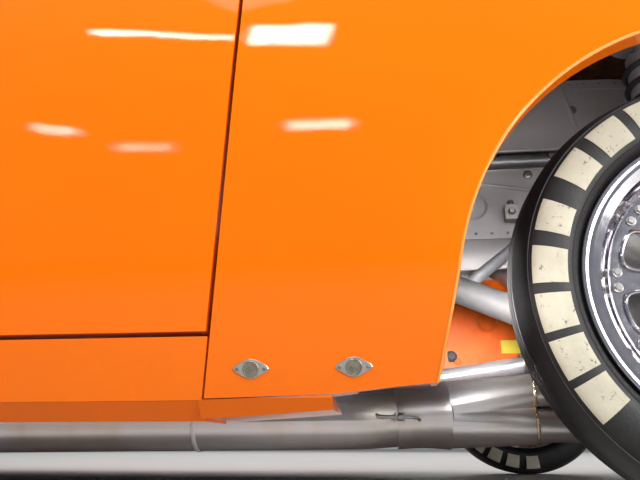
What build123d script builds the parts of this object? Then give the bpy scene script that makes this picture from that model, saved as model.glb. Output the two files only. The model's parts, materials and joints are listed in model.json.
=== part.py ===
from build123d import *
from math import sin, cos, tan, atan2, radians, degrees, hypot, sqrt, pi
import os

# A two-door drag-race muscle car: a steel-bodied coupe with a one-colour body, lift-on front fenders held by
# quarter-turn fasteners, narrow front wheels in wide arches, tube front chassis, strut suspension, tube headers with a
# merge collector and one large exhaust pipe under each sill, wide rear slicks, roll cage and one bucket seat.
# Frame: +X forward, +Y to the left, +Z up, origin on the floor under the middle of the car. Millimetres.

# ---------------------------------------------------------------- driving sizes
LENGTH = 4688.0                  # over both bumpers
BODY_LENGTH = 4608.0
WHEELBASE = 2736.0
XF = 1407.0                      # front axle
ARCH_X = 1414.0                  # middle of the front wheel arch
XR = XF - WHEELBASE              # rear axle
FT_R, F_TRACK = 293.0, 1500.0    # front tyre radius and track
KP_Y = -632.0                    # steering axis, upright, through the front strut
RT_R, R_TRACK = 400.0, 1330.0    # rear slick
SKIN = 8.0                       # outer panels
GAP = 6.0                        # shut lines
DOOR_IN = 768.0                  # inner face of each door
SILL_BOT, SILL_TOP, DOOR_BOT = 147.0, 220.0, 226.0
SILL_GAP = 3.0                   # sill to fender, both fixed
FLANGE_BOT = 124.0
WS_AXIS_X, WS_R = -1500.0, 2215.0              # windshield cone: vertical axis and radius at the base
BL_AXIS_X, BL_R = 700.0, 1920.0                # rear window cone
BELT_Z = 835.0
HOOD_R = WS_R + 95.0                           # rear edge of the hood, about the windshield's axis
DECK_R = BL_R + 62.0
HOOD_FRONT_X = 2140.0
NOSE_X = 2096.0                                # fender to nose panel line
DECK_REAR_X = -2200.0
DOOR_REAR_X = -517.0
DOOR_HINGE = (660.0, -915.0)                   # right side, as x and y
HOOD_HINGE = (686.0, 851.0)
DECK_HINGE = (-1160.0, 884.0)

os.makedirs("parts", exist_ok=True)
made = {}


def solids_of(*shapes):
    out = []
    for s in shapes:
        if s is None:
            continue
        if isinstance(s, (list, tuple)):
            out += solids_of(*s)
        else:
            out += list(s.solids())
    return out


def save(name, *shapes, least=200.0):
    parts = [s for s in solids_of(*shapes) if s.volume > least]
    made[name] = parts
    export_step(parts[0] if len(parts) == 1 else Compound(parts), f"parts/{name}.step")


def part(*shapes):
    """One Part of all the solids, fused where they touch."""
    s = solids_of(*shapes)
    return s[0] if len(s) == 1 else (Part() + s)


def cut(a, *tools):
    out = a
    for t in solids_of(*tools):
        out = out - t
    return part(out)


def both(*shapes):
    """The shapes and their mirror images about the car's middle."""
    s = solids_of(*shapes)
    return s + [mirror(x, Plane.XZ) for x in s]


def left(*shapes):
    return [mirror(x, Plane.XZ) for x in solids_of(*shapes)]


def box(x0, x1, y0, y1, z0, z1):
    return Pos((x0 + x1) / 2, (y0 + y1) / 2, (z0 + z1) / 2) * Box(abs(x1 - x0), abs(y1 - y0), abs(z1 - z0))


def prism(plane, pts, depth, fillet_r=0.0):
    """A closed outline, straight or with arcs given as ('arc', through, end), pushed both ways from its plane's middle."""
    edges, at = [], pts[0]
    for p in list(pts[1:]) + [pts[0]]:
        if p[0] == "arc":
            edges.append(ThreePointArc(at, p[1], p[2]))
            at = p[2]
        else:
            if hypot(p[0] - at[0], p[1] - at[1]) > 1e-6:
                edges.append(Line(at, p))
            at = p
    face = make_face(edges)
    if fillet_r:
        face = fillet(face.vertices(), fillet_r)
    return extrude(plane * face, depth)


def side_prism(pts, y0, y1, fillet_r=0.0):
    """An outline in the side view (x, z), between two values of y."""
    return prism(Plane((0, y0, 0), x_dir=(1, 0, 0), z_dir=(0, -1, 0)), pts, y0 - y1, fillet_r)


def plan_prism(pts, z0, z1, fillet_r=0.0):
    return prism(Plane((0, 0, z0), x_dir=(1, 0, 0), z_dir=(0, 0, 1)), pts, z1 - z0, fillet_r)


def front_prism(pts, x0, x1, fillet_r=0.0):
    """An outline in the front view (y, z), between two values of x."""
    return prism(Plane((x0, 0, 0), x_dir=(0, 1, 0), z_dir=(1, 0, 0)), pts, x1 - x0, fillet_r)


def tube(a, b, r, r_in=0.0):
    """A straight round tube from a to b."""
    a, b = Vector(*a), Vector(*b)
    d = b - a
    pl = Plane(a, z_dir=d)
    t = extrude(pl * Circle(r), d.length)
    if r_in:
        t = t - extrude(pl * Circle(r_in), d.length)
    return t


def bent(points, radius, r, r_in=0.0):
    """A round tube along straight runs joined by tangent arcs of the given radius."""
    path = FilletPolyline(*points, radius=radius) if len(points) > 2 else Line(*points)
    d = Vector(*points[1]) - Vector(*points[0])
    pl = Plane(Vector(*points[0]), z_dir=d)
    face = pl * Circle(r)
    if r_in:
        face = pl * (Circle(r) - Circle(r_in))
    return sweep(face, path=path)


def ring(profile, y_centre, x, z):
    """A solid of revolution about a line along Y through (x, z). The profile is (radius, y) points."""
    pl = Plane((x, y_centre, z), x_dir=(1, 0, 0), z_dir=(0, 0, 1))
    edges, at = [], profile[0]
    for p in list(profile[1:]) + [profile[0]]:
        if p[0] == "arc":
            edges.append(ThreePointArc(at, p[1], p[2]))
            at = p[2]
        else:
            if hypot(p[0] - at[0], p[1] - at[1]) > 1e-6:
                edges.append(Line(at, p))
            at = p
    face = pl * make_face(edges)
    return revolve(face, Axis((x, y_centre, z), (0, 1, 0)), 360)


# ---------------------------------------------------------------- lower body: one loft, in three sizes
# station x | bottom z, y | widest z, y | shoulder z, y | top edge z, y | crown z on the centre line
STATIONS = [
    (2420, 215, 745, 480, 838, 622, 818, 706, 690, 722),
    (2000, 172, 832, 500, 892, 690, 868, 768, 700, 788),
    (1414, 154, 858, 520, 915, 742, 884, 812, 715, 838),
    (740, 147, 866, 545, 921, 776, 886, 850, 768, 874),
    (100, 147, 868, 545, 922, 782, 888, 856, 768, 880),
    (-520, 147, 868, 545, 922, 796, 890, 866, 768, 890),
    (-1329, 150, 866, 560, 925, 815, 888, 884, 735, 905),
    (-1900, 172, 846, 572, 904, 812, 866, 878, 712, 898),
    (-2420, 235, 800, 580, 862, 796, 826, 858, 680, 876),
]


def arc_mid_upright(p, w):
    """The middle of the arc from p to w that stands upright at w."""
    dy, dz = w[0] - p[0], p[1] - w[1]
    r = (dy * dy + dz * dz) / (2 * dy)
    a = atan2(dz, p[0] - (w[0] - r)) / 2
    return (w[0] - r + r * cos(a), w[1] + r * sin(a)), r


def arc_mid_from(s, t, tangent):
    """The middle of the arc from s to t that leaves s along the tangent."""
    c = (t[0] - s[0], t[1] - s[1])
    length = hypot(*c)
    cross = tangent[0] * c[1] - tangent[1] * c[0]
    dot = tangent[0] * c[0] + tangent[1] * c[1]
    a = atan2(cross, dot)
    k = (length / 2) * tan(abs(a) / 2) * (1 if a > 0 else -1)
    return ((s[0] + t[0]) / 2 + c[1] / length * k, (s[1] + t[1]) / 2 - c[0] / length * k)


def section(st, t):
    x, zb, yb, zw, yw, zs, ys, zt, yt, zc = st
    dy, dz = yw - ys, zs - zw
    r2 = (dy * dy + dz * dz) / (2 * dy)
    n = ((ys - (yw - r2)) / r2, (zs - zw) / r2)
    a = (yb - t, zb + t)
    w = (yw - t, zw)
    s = (ys - t * n[0], zs - t * n[1])
    top = (yt - 0.3 * t, zt - t)
    m1, _ = arc_mid_upright(a, w)
    m2, r = arc_mid_upright(s, w)
    n2 = ((s[0] - (w[0] - r)) / r, (s[1] - w[1]) / r)
    m3 = arc_mid_from(s, top, (-n2[1], n2[0]))
    f = lambda p: (-p[0], p[1])
    edges = [
        Line(f(a), a),
        ThreePointArc(a, m1, w),
        ThreePointArc(w, m2, s),
        ThreePointArc(s, m3, top),
        ThreePointArc(top, (0, zc - t), f(top)),
        ThreePointArc(f(top), f(m3), f(s)),
        ThreePointArc(f(s), f(m2), f(w)),
        ThreePointArc(f(w), f(m1), f(a)),
    ]
    return Plane((x, 0, 0), x_dir=(0, 1, 0), z_dir=(1, 0, 0)) * make_face(edges)


def body(t):
    """The lower body's whole shape, taken in by t all over."""
    loft_ = loft([section(s, t) for s in reversed(STATIONS)])
    front, rear = BODY_LENGTH / 2 - t, -BODY_LENGTH / 2 + t
    plan = plan_prism(
        [
            (front - 18, -560), ("arc", (front, 0), (front - 18, 560)),
            ("arc", (front - 62, 780), (front - 200, 900 - t)), (2000, 1100),
            (-2000, 1100), (rear + 150, 900 - t), ("arc", (rear + 48, 790), (rear + 16, 600)),
            ("arc", (rear, 0), (rear + 16, -600)), ("arc", (rear + 48, -790), (rear + 150, -900 + t)),
            (-2000, -1100), (2000, -1100), (front - 200, -900 + t), ("arc", (front - 62, -780), (front - 18, -560)),
        ],
        0, 1200,
    )
    side = side_prism(
        [
            (front - 26, 700), (front, 560), (front - 6, 430), (front - 60, 300), (front - 150, 205 + t), (1700, 0),
            (-1700, 0), (rear + 170, 235 + t), (rear + 60, 330), (rear, 470), (rear + 4, 640), (rear + 40, 820),
            (rear + 70, 1000), (front - 60, 1000),
        ],
        -1200, 1200,
    )
    return part(loft_ & plan & side)


print("body lofts")
OUTER = body(0.0)
INNER = body(SKIN)
DEEP = body(30.0)
SHELL = cut(OUTER, INNER)
print("shell", round(SHELL.volume))


# ---------------------------------------------------------------- shut lines in the side view
# lower edge of the fender behind the wheel, rear to front: x, z
FENDER_BOT = [(600, 146.5), (740, 149.5), (879, 153), (ARCH_X - 425, 164), (ARCH_X - 330, 168)]


def door_front(dx=0.0):
    return [(716 + dx, 100), ("arc", (752 + dx, 480), (758 + dx, 640)), ("arc", (757 + dx, 740), (744 + dx, 930))]


# Front wheel arch, from the rear lower corner over the wheel to the front lower corner, about the axle.
def front_arch(grow=0.0):
    g, c = grow, ARCH_X
    return [
        (c - 428 - g, 100), (c - 384 - g, 285), ("arc", (c - 308 - 0.8 * g, 466 + 0.5 * g), (c - 150 - 0.4 * g, 582 + g)),
        ("arc", (c, 607 + g), (c + 150 + 0.4 * g, 582 + g)), ("arc", (c + 302 + 0.8 * g, 472 + 0.5 * g), (c + 372 + g, 300)),
        (c + 392 + g, 60),
    ]


def rear_arch(grow=0.0):
    r = 452.0 + grow
    z = RT_R + 8
    return [(XR - r - 14, 60), (XR - r, z - 60), ("arc", (XR, z + r - 12), (XR + r, z - 60)), (XR + r + 14, 60)]


def hood_zone(g, z0=560, z1=1100):
    """Over the engine, ahead of the cowl, taken in by g on every side."""
    p = plan_prism(
        [(HOOD_FRONT_X - g, -672 + g), ("arc", (HOOD_FRONT_X + 30 - g, 0), (HOOD_FRONT_X - g, 672 - g)), (640, 744 - g), (640, -744 + g)],
        z0, z1,
    )
    return cut(p, Pos(WS_AXIS_X, 0, (z0 + z1) / 2) * Cylinder(HOOD_R + g, z1 - z0 + 10))


def deck_zone(g, z0=700, z1=1100):
    p = plan_prism(
        [(DECK_REAR_X + g, 640 - g), ("arc", (DECK_REAR_X - 14 + g, 0), (DECK_REAR_X + g, -640 + g)), (-1100, -700 + g), (-1100, 700 - g)],
        z0, z1,
    )
    return cut(p, Pos(BL_AXIS_X, 0, (z0 + z1) / 2) * Cylinder(DECK_R + g, z1 - z0 + 10))


# ---------------------------------------------------------------- greenhouse: one swept front profile between two cones
ROOF_R = 9000.0
ROOF_X = -250.0


def greenhouse(t):
    p = [(-(806 - 1.1 * t), 815), (-(624 - 1.1 * t), 1176 - 0.3 * t)]
    q = (-(520 - 0.6 * t), 1226 - t)
    m = arc_mid_from(p[1], q, ((806 - 624) / 403.0, 361 / 403.0))
    f = lambda v: (-v[0], v[1])
    edges = [
        Line(p[0], p[1]), ThreePointArc(p[1], m, q), ThreePointArc(q, (0, 1248 - t), f(q)),
        ThreePointArc(f(q), f(m), f(p[1])), Line(f(p[1]), f(p[0])), Line(f(p[0]), p[0]),
    ]
    face = Plane((ROOF_X, 0, 0), x_dir=(0, 1, 0), z_dir=(1, 0, 0)) * make_face(edges)
    axis = Axis((ROOF_X, 0, 1248 - ROOF_R), (0, 1, 0))
    swept = revolve(face.rotate(axis, -9), axis, 20)
    slope_w = (585.0, 365.0)
    off = t * hypot(*slope_w) / slope_w[1]
    pl = Plane((WS_AXIS_X, 0, 0), x_dir=(1, 0, 0), z_dir=(0, -1, 0))
    base_z = BELT_Z - 60
    k = slope_w[0] / slope_w[1]
    r0 = WS_R - off + 60 * k
    ws = revolve(pl * make_face([Line((0, base_z), (r0, base_z)), Line((r0, base_z), (r0 - k * 520, base_z + 520)), Line((r0 - k * 520, base_z + 520), (0, base_z + 520)), Line((0, base_z + 520), (0, base_z))]), Axis((WS_AXIS_X, 0, 0), (0, 0, 1)), 360)
    kb = 580.0 / 350.0
    offb = t * hypot(580.0, 350.0) / 350.0
    rb = BL_R - offb + 60 * kb
    plb = Plane((BL_AXIS_X, 0, 0), x_dir=(1, 0, 0), z_dir=(0, -1, 0))
    rear = revolve(plb * make_face([Line((0, base_z), (rb, base_z)), Line((rb, base_z), (rb - kb * 520, base_z + 520)), Line((rb - kb * 520, base_z + 520), (0, base_z + 520)), Line((0, base_z + 520), (0, base_z))]), Axis((BL_AXIS_X, 0, 0), (0, 0, 1)), 360)
    return part(swept & ws & rear)


print("greenhouse")
G0, G3, G9, G24 = greenhouse(0.0), greenhouse(3.0), greenhouse(9.0), greenhouse(24.0)
WS_OPEN = [(-690, 800), (-674, 868), ("arc", (-648, 960), (-560, 1176)), (560, 1176), ("arc", (648, 960), (674, 868)), (690, 800)]
SIDE_OPEN = [(476, 700), (476, 858), (-70, 1168), (-318, 1168), ("arc", (-560, 1080), (-700, 905)), (-712, 866), (-712, 700)]
BL_OPEN = [(-610, 868), (-470, 1160), (470, 1160), (610, 868)]


def shrink(pts, cx, cz, kx, kz):
    f = lambda p: (cx + (p[0] - cx) * kx, cz + (p[1] - cz) * kz)
    return [("arc", f(p[1]), f(p[2])) if p[0] == "arc" else f(p) for p in pts]


ws_cut = front_prism(WS_OPEN, -150, 900)
side_cut = side_prism(SIDE_OPEN, 1000, -1000)
bl_cut = front_prism(BL_OPEN, -1300, -420)
roof = cut(G0, G24, ws_cut, side_cut, bl_cut, OUTER, box(-3000, 3000, -900, -760, 700, 872), box(-3000, 3000, 760, 900, 700, 872))
save("roof", max(roof.solids(), key=lambda s: s.volume))
glass = cut(G3, G9)
ws_glass = part(glass & front_prism(shrink(WS_OPEN, 0, 1020, 0.994, 0.985), -150, 900)) - OUTER
save("windshield", max(ws_glass.solids(), key=lambda s: s.volume))
bl_glass = part(glass & front_prism(shrink(BL_OPEN, 0, 1015, 0.99, 0.98), -1300, -420)) - OUTER
save("rear_window", max(bl_glass.solids(), key=lambda s: s.volume))
door_glass_outline = [(466, 815), (466, 860), (-66, 1162), (-300, 1162), (-505, 1086), (-514, 815)]
quarter_glass_outline = [(-521, 840), (-521, 1080), ("arc", (-620, 1010), (-690, 905)), (-702, 868), (-702, 840)]
door_glass = part(glass & side_prism(door_glass_outline, -1, -1000))
quarter_glass = part(glass & side_prism(quarter_glass_outline, -1, -1000)) - OUTER

# ---------------------------------------------------------------- outer panels, right side first
print("panels")
f_arch = side_prism(front_arch(), 1000, -1000)
f_lip = side_prism(front_arch(7.0), 1000, -1000)
r_arch = side_prism(rear_arch(), 1000, -1000)
r_lip = side_prism(rear_arch(7.0), 1000, -1000)
fender_zone = side_prism(
    [(716 + GAP / 2, 100)] + door_front(GAP / 2)[1:] + [(NOSE_X - GAP / 2, 930), (NOSE_X - GAP / 2, 100)], -1, -1200
) & side_prism([(600, 1000), (2300, 1000), (2300, 176), (ARCH_X + 330, 176)] + FENDER_BOT[::-1], -1, -1200)
HOOD_OUT = hood_zone(0.0)
fender = cut(part(SHELL & fender_zone), f_arch, HOOD_OUT, G0, box(-3000, 760, -761, 0, 700, 1100), Pos(WS_AXIS_X, 0, 830) * Cylinder(HOOD_R, 600))
fender_lip = cut(part(cut(OUTER, DEEP) & fender_zone & f_lip), f_arch)
fender = part(fender + fender_lip)
fender = cut(fender, box(-3000, 3000, -826, 0, 0, 240))
fender = max(fender.solids(), key=lambda s: s.volume)
save("front_fender_right", fender)
save("front_fender_left", left(fender))

door_zone = side_prism(
    [(716 - GAP / 2, 100)] + door_front(-GAP / 2)[1:] + [(DOOR_REAR_X, 930), (DOOR_REAR_X, 100)], -DOOR_IN, -1200
) & box(-800, 900, -1200, -700, DOOR_BOT, 1000) & (Pos(DOOR_HINGE[0], DOOR_HINGE[1], 500) * Cylinder(DOOR_HINGE[0] - DOOR_REAR_X, 2000))
door = part(OUTER & door_zone)
door = cut(door, door_glass)
door = max(door.solids(), key=lambda s: s.volume)
save("door_right", door)
save("door_left", left(door))
save("door_glass_right", max(door_glass.solids(), key=lambda s: s.volume))
save("door_glass_left", left(max(door_glass.solids(), key=lambda s: s.volume)))

quarter_zone = side_prism([(DOOR_REAR_X - GAP, 1100), (DOOR_REAR_X - GAP, SILL_TOP), (XR + 470, SILL_TOP), (XR + 470, 130), (-3000, 130), (-3000, 1100), (-700, 1100)], -1, -1200)
deck_out = deck_zone(0.0)
quarter = cut(part(SHELL & quarter_zone), r_arch, deck_out, box(-1180, 3000, -768, 0, 500, 1100), box(-3000, 3000, -745, 0, 0, 700), box(-3000, DECK_REAR_X - 3, -745, 0, 0, 1100), box(-3000, 3000, -800, 0, 0, 262))
quarter_lip = cut(part(cut(OUTER, DEEP) & quarter_zone & r_lip), r_arch)
quarter = max(part(quarter + quarter_lip).solids(), key=lambda s: s.volume)
save("quarter_panel_right", quarter)
save("quarter_panel_left", left(quarter))
save("quarter_glass", both(max(quarter_glass.solids(), key=lambda s: s.volume)))

sill_front = GAP / 2 - SILL_GAP
sill_zone = side_prism([(716 + sill_front, 100)] + door_front(sill_front)[1:] + [(XR + 474, 930), (XR + 474, 100)], -760, -1200) & box(-1200, 900, -1200, -700, 110, SILL_TOP)
sill = cut(part(cut(OUTER, body(24.0)) & sill_zone), r_arch, quarter)
sill = max(sill.solids(), key=lambda s: s.volume)
flange = front_prism([(-866, SILL_BOT - 0.5), (-838, FLANGE_BOT), (-730, FLANGE_BOT), (-730, FLANGE_BOT + 14), (-800, SILL_BOT - 0.5)], XR + 490, 718)
# its front end follows the fender's lower edge, 1.5 mm below it
flange_front = front_prism([(-869, 160), (-869, 149), (-842, 120), (-730, 120), (-730, FLANGE_BOT + 14), (-800, SILL_BOT - 0.5), (-858, SILL_BOT + 3), (-861, 160)], 718, 879)
flange_front = flange_front & side_prism([(700, 125.5), (738, 127), (890, 136.5)] + [(x + 11 if x > 800 else x, z - 1.5) for x, z in FENDER_BOT[2::-1]], -700, -900)
save("sills", both(sill, part(flange + flange_front)))

hood = part(SHELL & hood_zone(GAP))
bulge = loft([
    Plane((2040, 0, 0), x_dir=(0, 1, 0), z_dir=(1, 0, 0)) * make_face([Line((-150, 740), (150, 740)), Line((150, 740), (150, 776)), ThreePointArc((150, 776), (0, 792), (-150, 776)), Line((-150, 776), (-150, 740))]),
    Plane((1500, 0, 0), x_dir=(0, 1, 0), z_dir=(1, 0, 0)) * make_face([Line((-210, 780), (210, 780)), Line((210, 780), (196, 846)), ThreePointArc((196, 846), (0, 872), (-196, 846)), Line((-196, 846), (-210, 780))]),
    Plane((880, 0, 0), x_dir=(0, 1, 0), z_dir=(1, 0, 0)) * make_face([Line((-250, 820), (250, 820)), Line((250, 820), (232, 914)), ThreePointArc((232, 914), (0, 940), (-232, 914)), Line((-232, 914), (-250, 820))]),
])
bulge_in = loft([
    Plane((2010, 0, 0), x_dir=(0, 1, 0), z_dir=(1, 0, 0)) * make_face([Line((-142, 700), (142, 700)), Line((142, 700), (142, 766)), ThreePointArc((142, 766), (0, 780), (-142, 766)), Line((-142, 766), (-142, 700))]),
    Plane((1500, 0, 0), x_dir=(0, 1, 0), z_dir=(1, 0, 0)) * make_face([Line((-202, 740), (202, 740)), Line((202, 740), (188, 838)), ThreePointArc((188, 838), (0, 863), (-188, 838)), Line((-188, 838), (-202, 740))]),
    Plane((888, 0, 0), x_dir=(0, 1, 0), z_dir=(1, 0, 0)) * make_face([Line((-242, 780), (242, 780)), Line((242, 780), (224, 905)), ThreePointArc((224, 905), (0, 931), (-224, 905)), Line((-224, 905), (-242, 780))]),
])
bulge = cut(part(bulge), INNER)
hood = cut(part(hood + bulge), bulge_in)
save("hood", max(hood.solids(), key=lambda s: s.volume))

cowl_zone = plan_prism([(500, -758), (500, 758), (1000, 758), (1000, -758)], 790, 1000)
cowl = part(SHELL & cowl_zone & (Pos(WS_AXIS_X, 0, 880) * Cylinder(HOOD_R - GAP / 2, 400)))
door_sweep = both(Pos(DOOR_HINGE[0], DOOR_HINGE[1], 880) * Cylinder(180, 400))
cowl = cut(cowl, Pos(WS_AXIS_X, 0, 880) * Cylinder(2120, 400), fender, left(fender), door_sweep)
save("cowl_panel", max(cowl.solids(), key=lambda s: s.volume))

deck = part(SHELL & deck_zone(GAP))
spoiler = side_prism([(-2030, 870), (DECK_REAR_X + 20, 905), (DECK_REAR_X + 8, 906), (DECK_REAR_X + 8, 850), (-2030, 850)], -600, 600)
spoiler = cut(spoiler, INNER)
save("deck_lid", max(part(deck + spoiler).solids(), key=lambda s: s.volume))

shelf_zone = plan_prism([(-600, -766), (-600, 766), (-1178, 766), (-1178, 734), (-1500, 734), (-1500, -734), (-1178, -734), (-1178, -766)], 820, 1000)
shelf = part(SHELL & shelf_zone & (Pos(BL_AXIS_X, 0, 900) * Cylinder(DECK_R - GAP / 2, 400)))
shelf = cut(shelf, Pos(BL_AXIS_X, 0, 900) * Cylinder(1640, 400), quarter, left(quarter), box(-700, 0, -900, 900, 700, 1200))
save("rear_deck_panel", max(shelf.solids(), key=lambda s: s.volume))

tail = part(SHELL & box(-3000, -1700, -900, 900, 200, 880))
tail = cut(tail, quarter, left(quarter), deck_out, box(DECK_REAR_X - 3, 0, -900, 900, 0, 900), box(-3000, 0, 742, 900, 0, 900), box(-3000, 0, -900, -742, 0, 900))
lamp_holes = [(-650, -350), (350, 650)]          # tail lamps: from y, to y
for y0, y1 in lamp_holes:
    tail = cut(tail, box(-2400, -2200, y0, y1, 590, 680))
lamps = [SHELL & box(-2400, -2250, y0 + 2, y1 - 2, 592, 678) for y0, y1 in lamp_holes]
save("tail_lamps", lamps)
save("tail_panel", max(tail.solids(), key=lambda s: s.volume))

nose_zone = box(NOSE_X + GAP / 2, 3000, -1000, 1000, 100, 1000)
nose = cut(part(SHELL & nose_zone), HOOD_OUT, f_arch)
GRILLE = [(-745, 505), (-765, 560), (-735, 640), (735, 640), (765, 560), (745, 505)]
nose = cut(nose, box(2000, 2190, -700, 700, 100, 260), front_prism(GRILLE, 2000, 2500), front_prism([(-420, 260), (-450, 350), (450, 350), (420, 260)], 2000, 2500))
save("nose_panel", max(nose.solids(), key=lambda s: s.volume))


# ---------------------------------------------------------------- bumpers, grille, lamps
print("bumpers and lamps")


def bumper(sign, reach, inner, z0, z1, half):
    """A bar round one end of the car, outside the body."""
    f = sign
    o = [(f * (reach - 14), -560), ("arc", (f * reach, 0), (f * (reach - 14), 560)), ("arc", (f * (reach - 52), half - 40), (f * (reach - 190), half + 34)),
         (f * (reach - 196), half + 20), ("arc", (f * (reach - 66), half - 56), (f * (inner - 14), 552)),
         ("arc", (f * inner, 0), (f * (inner - 14), -552)), ("arc", (f * (reach - 66), -half + 56), (f * (reach - 196), -half - 20)),
         (f * (reach - 190), -half - 34), ("arc", (f * (reach - 52), -half + 40), (f * (reach - 14), -560))]
    bar = plan_prism(o, z0, z1)
    return cut(part(bar), OUTER)


save("front_bumper", max(bumper(1, LENGTH / 2, LENGTH / 2 - 34, 402, 478, 860).solids(), key=lambda s: s.volume))
save("rear_bumper", max(bumper(-1, LENGTH / 2, LENGTH / 2 - 34, 452, 532, 860).solids(), key=lambda s: s.volume))
grille_x = 2205.0
bars = [box(grille_x, grille_x + 10, -452, 452, z - 3, z + 3) for z in (520, 540, 560, 580, 600, 620)]
uprights = [box(grille_x - 2, grille_x + 8, y - 4, y + 4, 508, 637) for y in (-448, -300, -150, 0, 150, 300, 448)]
lamp_plates = [box(grille_x - 3, grille_x + 3, s * 598 - 150, s * 598 + 150, 508, 637) for s in (-1, 1)]
lamp_rows = [(-668, 572), (-528, 572), (528, 572), (668, 572)]          # headlamps: y, z
grille = cut(part(bars + uprights + lamp_plates), [Pos(grille_x, y, z) * Rot(0, 90, 0) * Cylinder(62, 40) for y, z in lamp_rows])
save("grille", grille)
save("headlamps", *[Pos(2196, y, z) * Rot(0, 90, 0) * Cylinder(60, 44) for y, z in lamp_rows])

# ---------------------------------------------------------------- floor, firewall, boot, tubs
print("floor")
FLOOR_Z, SHEET = 196.0, 6.0
TUNNEL = [(-190, FLOOR_Z), (-150, 440), (-90, 470), (90, 470), (150, 440), (190, FLOOR_Z)]
tunnel_in = front_prism([(-184, FLOOR_Z - 60), (-184, FLOOR_Z), (-145, 436), (-88, 464), (88, 464), (145, 436), (184, FLOOR_Z), (184, FLOOR_Z - 60)], -600, 800)
floor = front_prism([(-836, FLOOR_Z), (-836, FLOOR_Z + SHEET), (-193, FLOOR_Z + SHEET), (-155, 446), (-92, 476), (92, 476), (155, 446), (193, FLOOR_Z + SHEET), (836, FLOOR_Z + SHEET), (836, FLOOR_Z)], -560, 752)
floor = cut(part(floor), tunnel_in)
firewall = cut(part(box(746, 752, -726, 726, FLOOR_Z, 826)), tunnel_in, box(700, 800, -150, 150, 150, 466))
BOOT_Z, DIFF_Z = 330.0, 596.0
trunk = side_prism([(-560, FLOOR_Z), (-560, DIFF_Z), (-1700, DIFF_Z), (-1700, BOOT_Z), (-2230, BOOT_Z), (-2230, BOOT_Z + SHEET), (-1706, BOOT_Z + SHEET), (-1706, DIFF_Z + SHEET), (-554, DIFF_Z + SHEET), (-554, FLOOR_Z)], -466, 466)
trunk = cut(part(trunk), tunnel_in)
boot_sides = box(-2230, -1812, 460, 740, BOOT_Z, BOOT_Z + SHEET)
bulk_sides = box(-560, -554, 460, 836, FLOOR_Z, 700)
floor = part([floor, firewall, trunk] + both(boot_sides, bulk_sides))
save("floor_pan", max(floor.solids(), key=lambda s: s.volume))

TUB_R = 462.0
WHEEL_Z = RT_R + 8
tub_out = part(Pos(XR, -720, WHEEL_Z) * Rot(90, 0, 0) * Cylinder(TUB_R + SHEET, 2 * (720 - 467)))
tub_out = part(tub_out + box(XR - TUB_R - SHEET, XR + TUB_R + SHEET, -973, -467, 300, WHEEL_Z))
tub_in = part(Pos(XR, -760, WHEEL_Z) * Rot(90, 0, 0) * Cylinder(TUB_R, 2 * (760 - 473)))
tub_in = part(tub_in + box(XR - TUB_R, XR + TUB_R, -1047, -473, 100, WHEEL_Z))
tub = cut(part(tub_out), tub_in, box(-3000, 0, -1200, 0, 0, 300), box(XR - 60, XR + 60, -490, -450, 250, 520))
tub = part(tub & body(11.0))
save("rear_tubs", both(max(tub.solids(), key=lambda s: s.volume)))

# ---------------------------------------------------------------- front chassis: two rails a side, braces, cross tubes
print("chassis")
RAIL_Y, UP_Z, R_TUBE = 410.0, 655.0, 16.0
lower_rail = bent([(754, -RAIL_Y, 174), (1414, -RAIL_Y, 268), (1960, -RAIL_Y, 300), (2060, -RAIL_Y, 300)], 60, R_TUBE)
upper_rail = bent([(754, -RAIL_Y, UP_Z + 4), (1960, -RAIL_Y, UP_Z - 20), (2040, -RAIL_Y, 560), (2040, -RAIL_Y, 300)], 60, R_TUBE)
brace = tube((842, -RAIL_Y, 190), (1436, -RAIL_Y, 650), 12)
brace2 = tube((1436, -RAIL_Y, 650), (1930, -RAIL_Y, 300), 12)
strut_top = Pos(XF, KP_Y, 775) * Cylinder(58, 8)
TOWER = [((XF + 28, -RAIL_Y, UP_Z - 8), (XF + 2, KP_Y + 40, 775)), ((XF + 170, -RAIL_Y, UP_Z - 10), (XF + 24, KP_Y + 40, 775))]     # strut tower tubes, foot and head
tower = [tube(a, b, 11) for a, b in TOWER]
side_frame = [lower_rail, upper_rail, brace, brace2, strut_top] + tower
cross = [tube((2050, -RAIL_Y, 300), (2050, RAIL_Y, 300), R_TUBE), tube((2030, -RAIL_Y, 600), (2030, RAIL_Y, 600), R_TUBE), tube((XF + 130, -RAIL_Y, 270), (XF + 130, RAIL_Y, 270), R_TUBE)]
chassis = part(both(side_frame) + cross)
save("front_chassis", chassis)
panel = side_prism([(776, 475), (1320, 475), (1320, 676), (1990, 664), (1990, 744), (1414, 812), (776, 832)], -444, -440)
panel = cut(part(panel), box(1120, 1330, -450, -436, 620, 658), Pos(1129, -442, 526) * Rot(90, 0, 0) * Cylinder(21, 40), [tube(a, b, 14) for a, b in TOWER])
radiator = part(box(2090 - 90, 2090 - 30, -330, 330, 336, 580))
save("radiator", radiator)

# ---------------------------------------------------------------- engine, transmission, driveshaft
ENGINE = [(0, 245), (-235, 245), (-235, 415), (-262, 434), (-262, 508), (-240, 560), (-186, 640), (-110, 610), (-90, 640), (0, 640)]
engine = front_prism([(y, z) for y, z in ENGINE] + [(-y, z) for y, z in reversed(ENGINE[1:-1])], 965, 1480)
plug = Pos(1160, -240, 351) * Rot(90, 0, 0) * Cylinder(21, 14)
intake = part([box(1060, 1390, -100, 100, 630, 716), Pos(1225, 0, 745) * Cylinder(70, 70), Pos(1225, 0, 806) * Cylinder(150, 56)])
save("engine_block", part([engine, intake] + both(plug)))
save("oil_pan", part([box(985, 1240, -110, 110, 158, 243), box(1230, 1465, -110, 110, 205, 243)]))
save("transmission", part([front_prism([(-130, 200), (-150, 330), (-90, 440), (90, 440), (150, 330), (130, 200)], 772, 960), Pos(600, 0, 325) * Rot(0, 90, 0) * Cylinder(100, 360)]))
save("driveshaft", tube((416, 0, 326), (XR + 176, 0, 396), 40))

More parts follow.
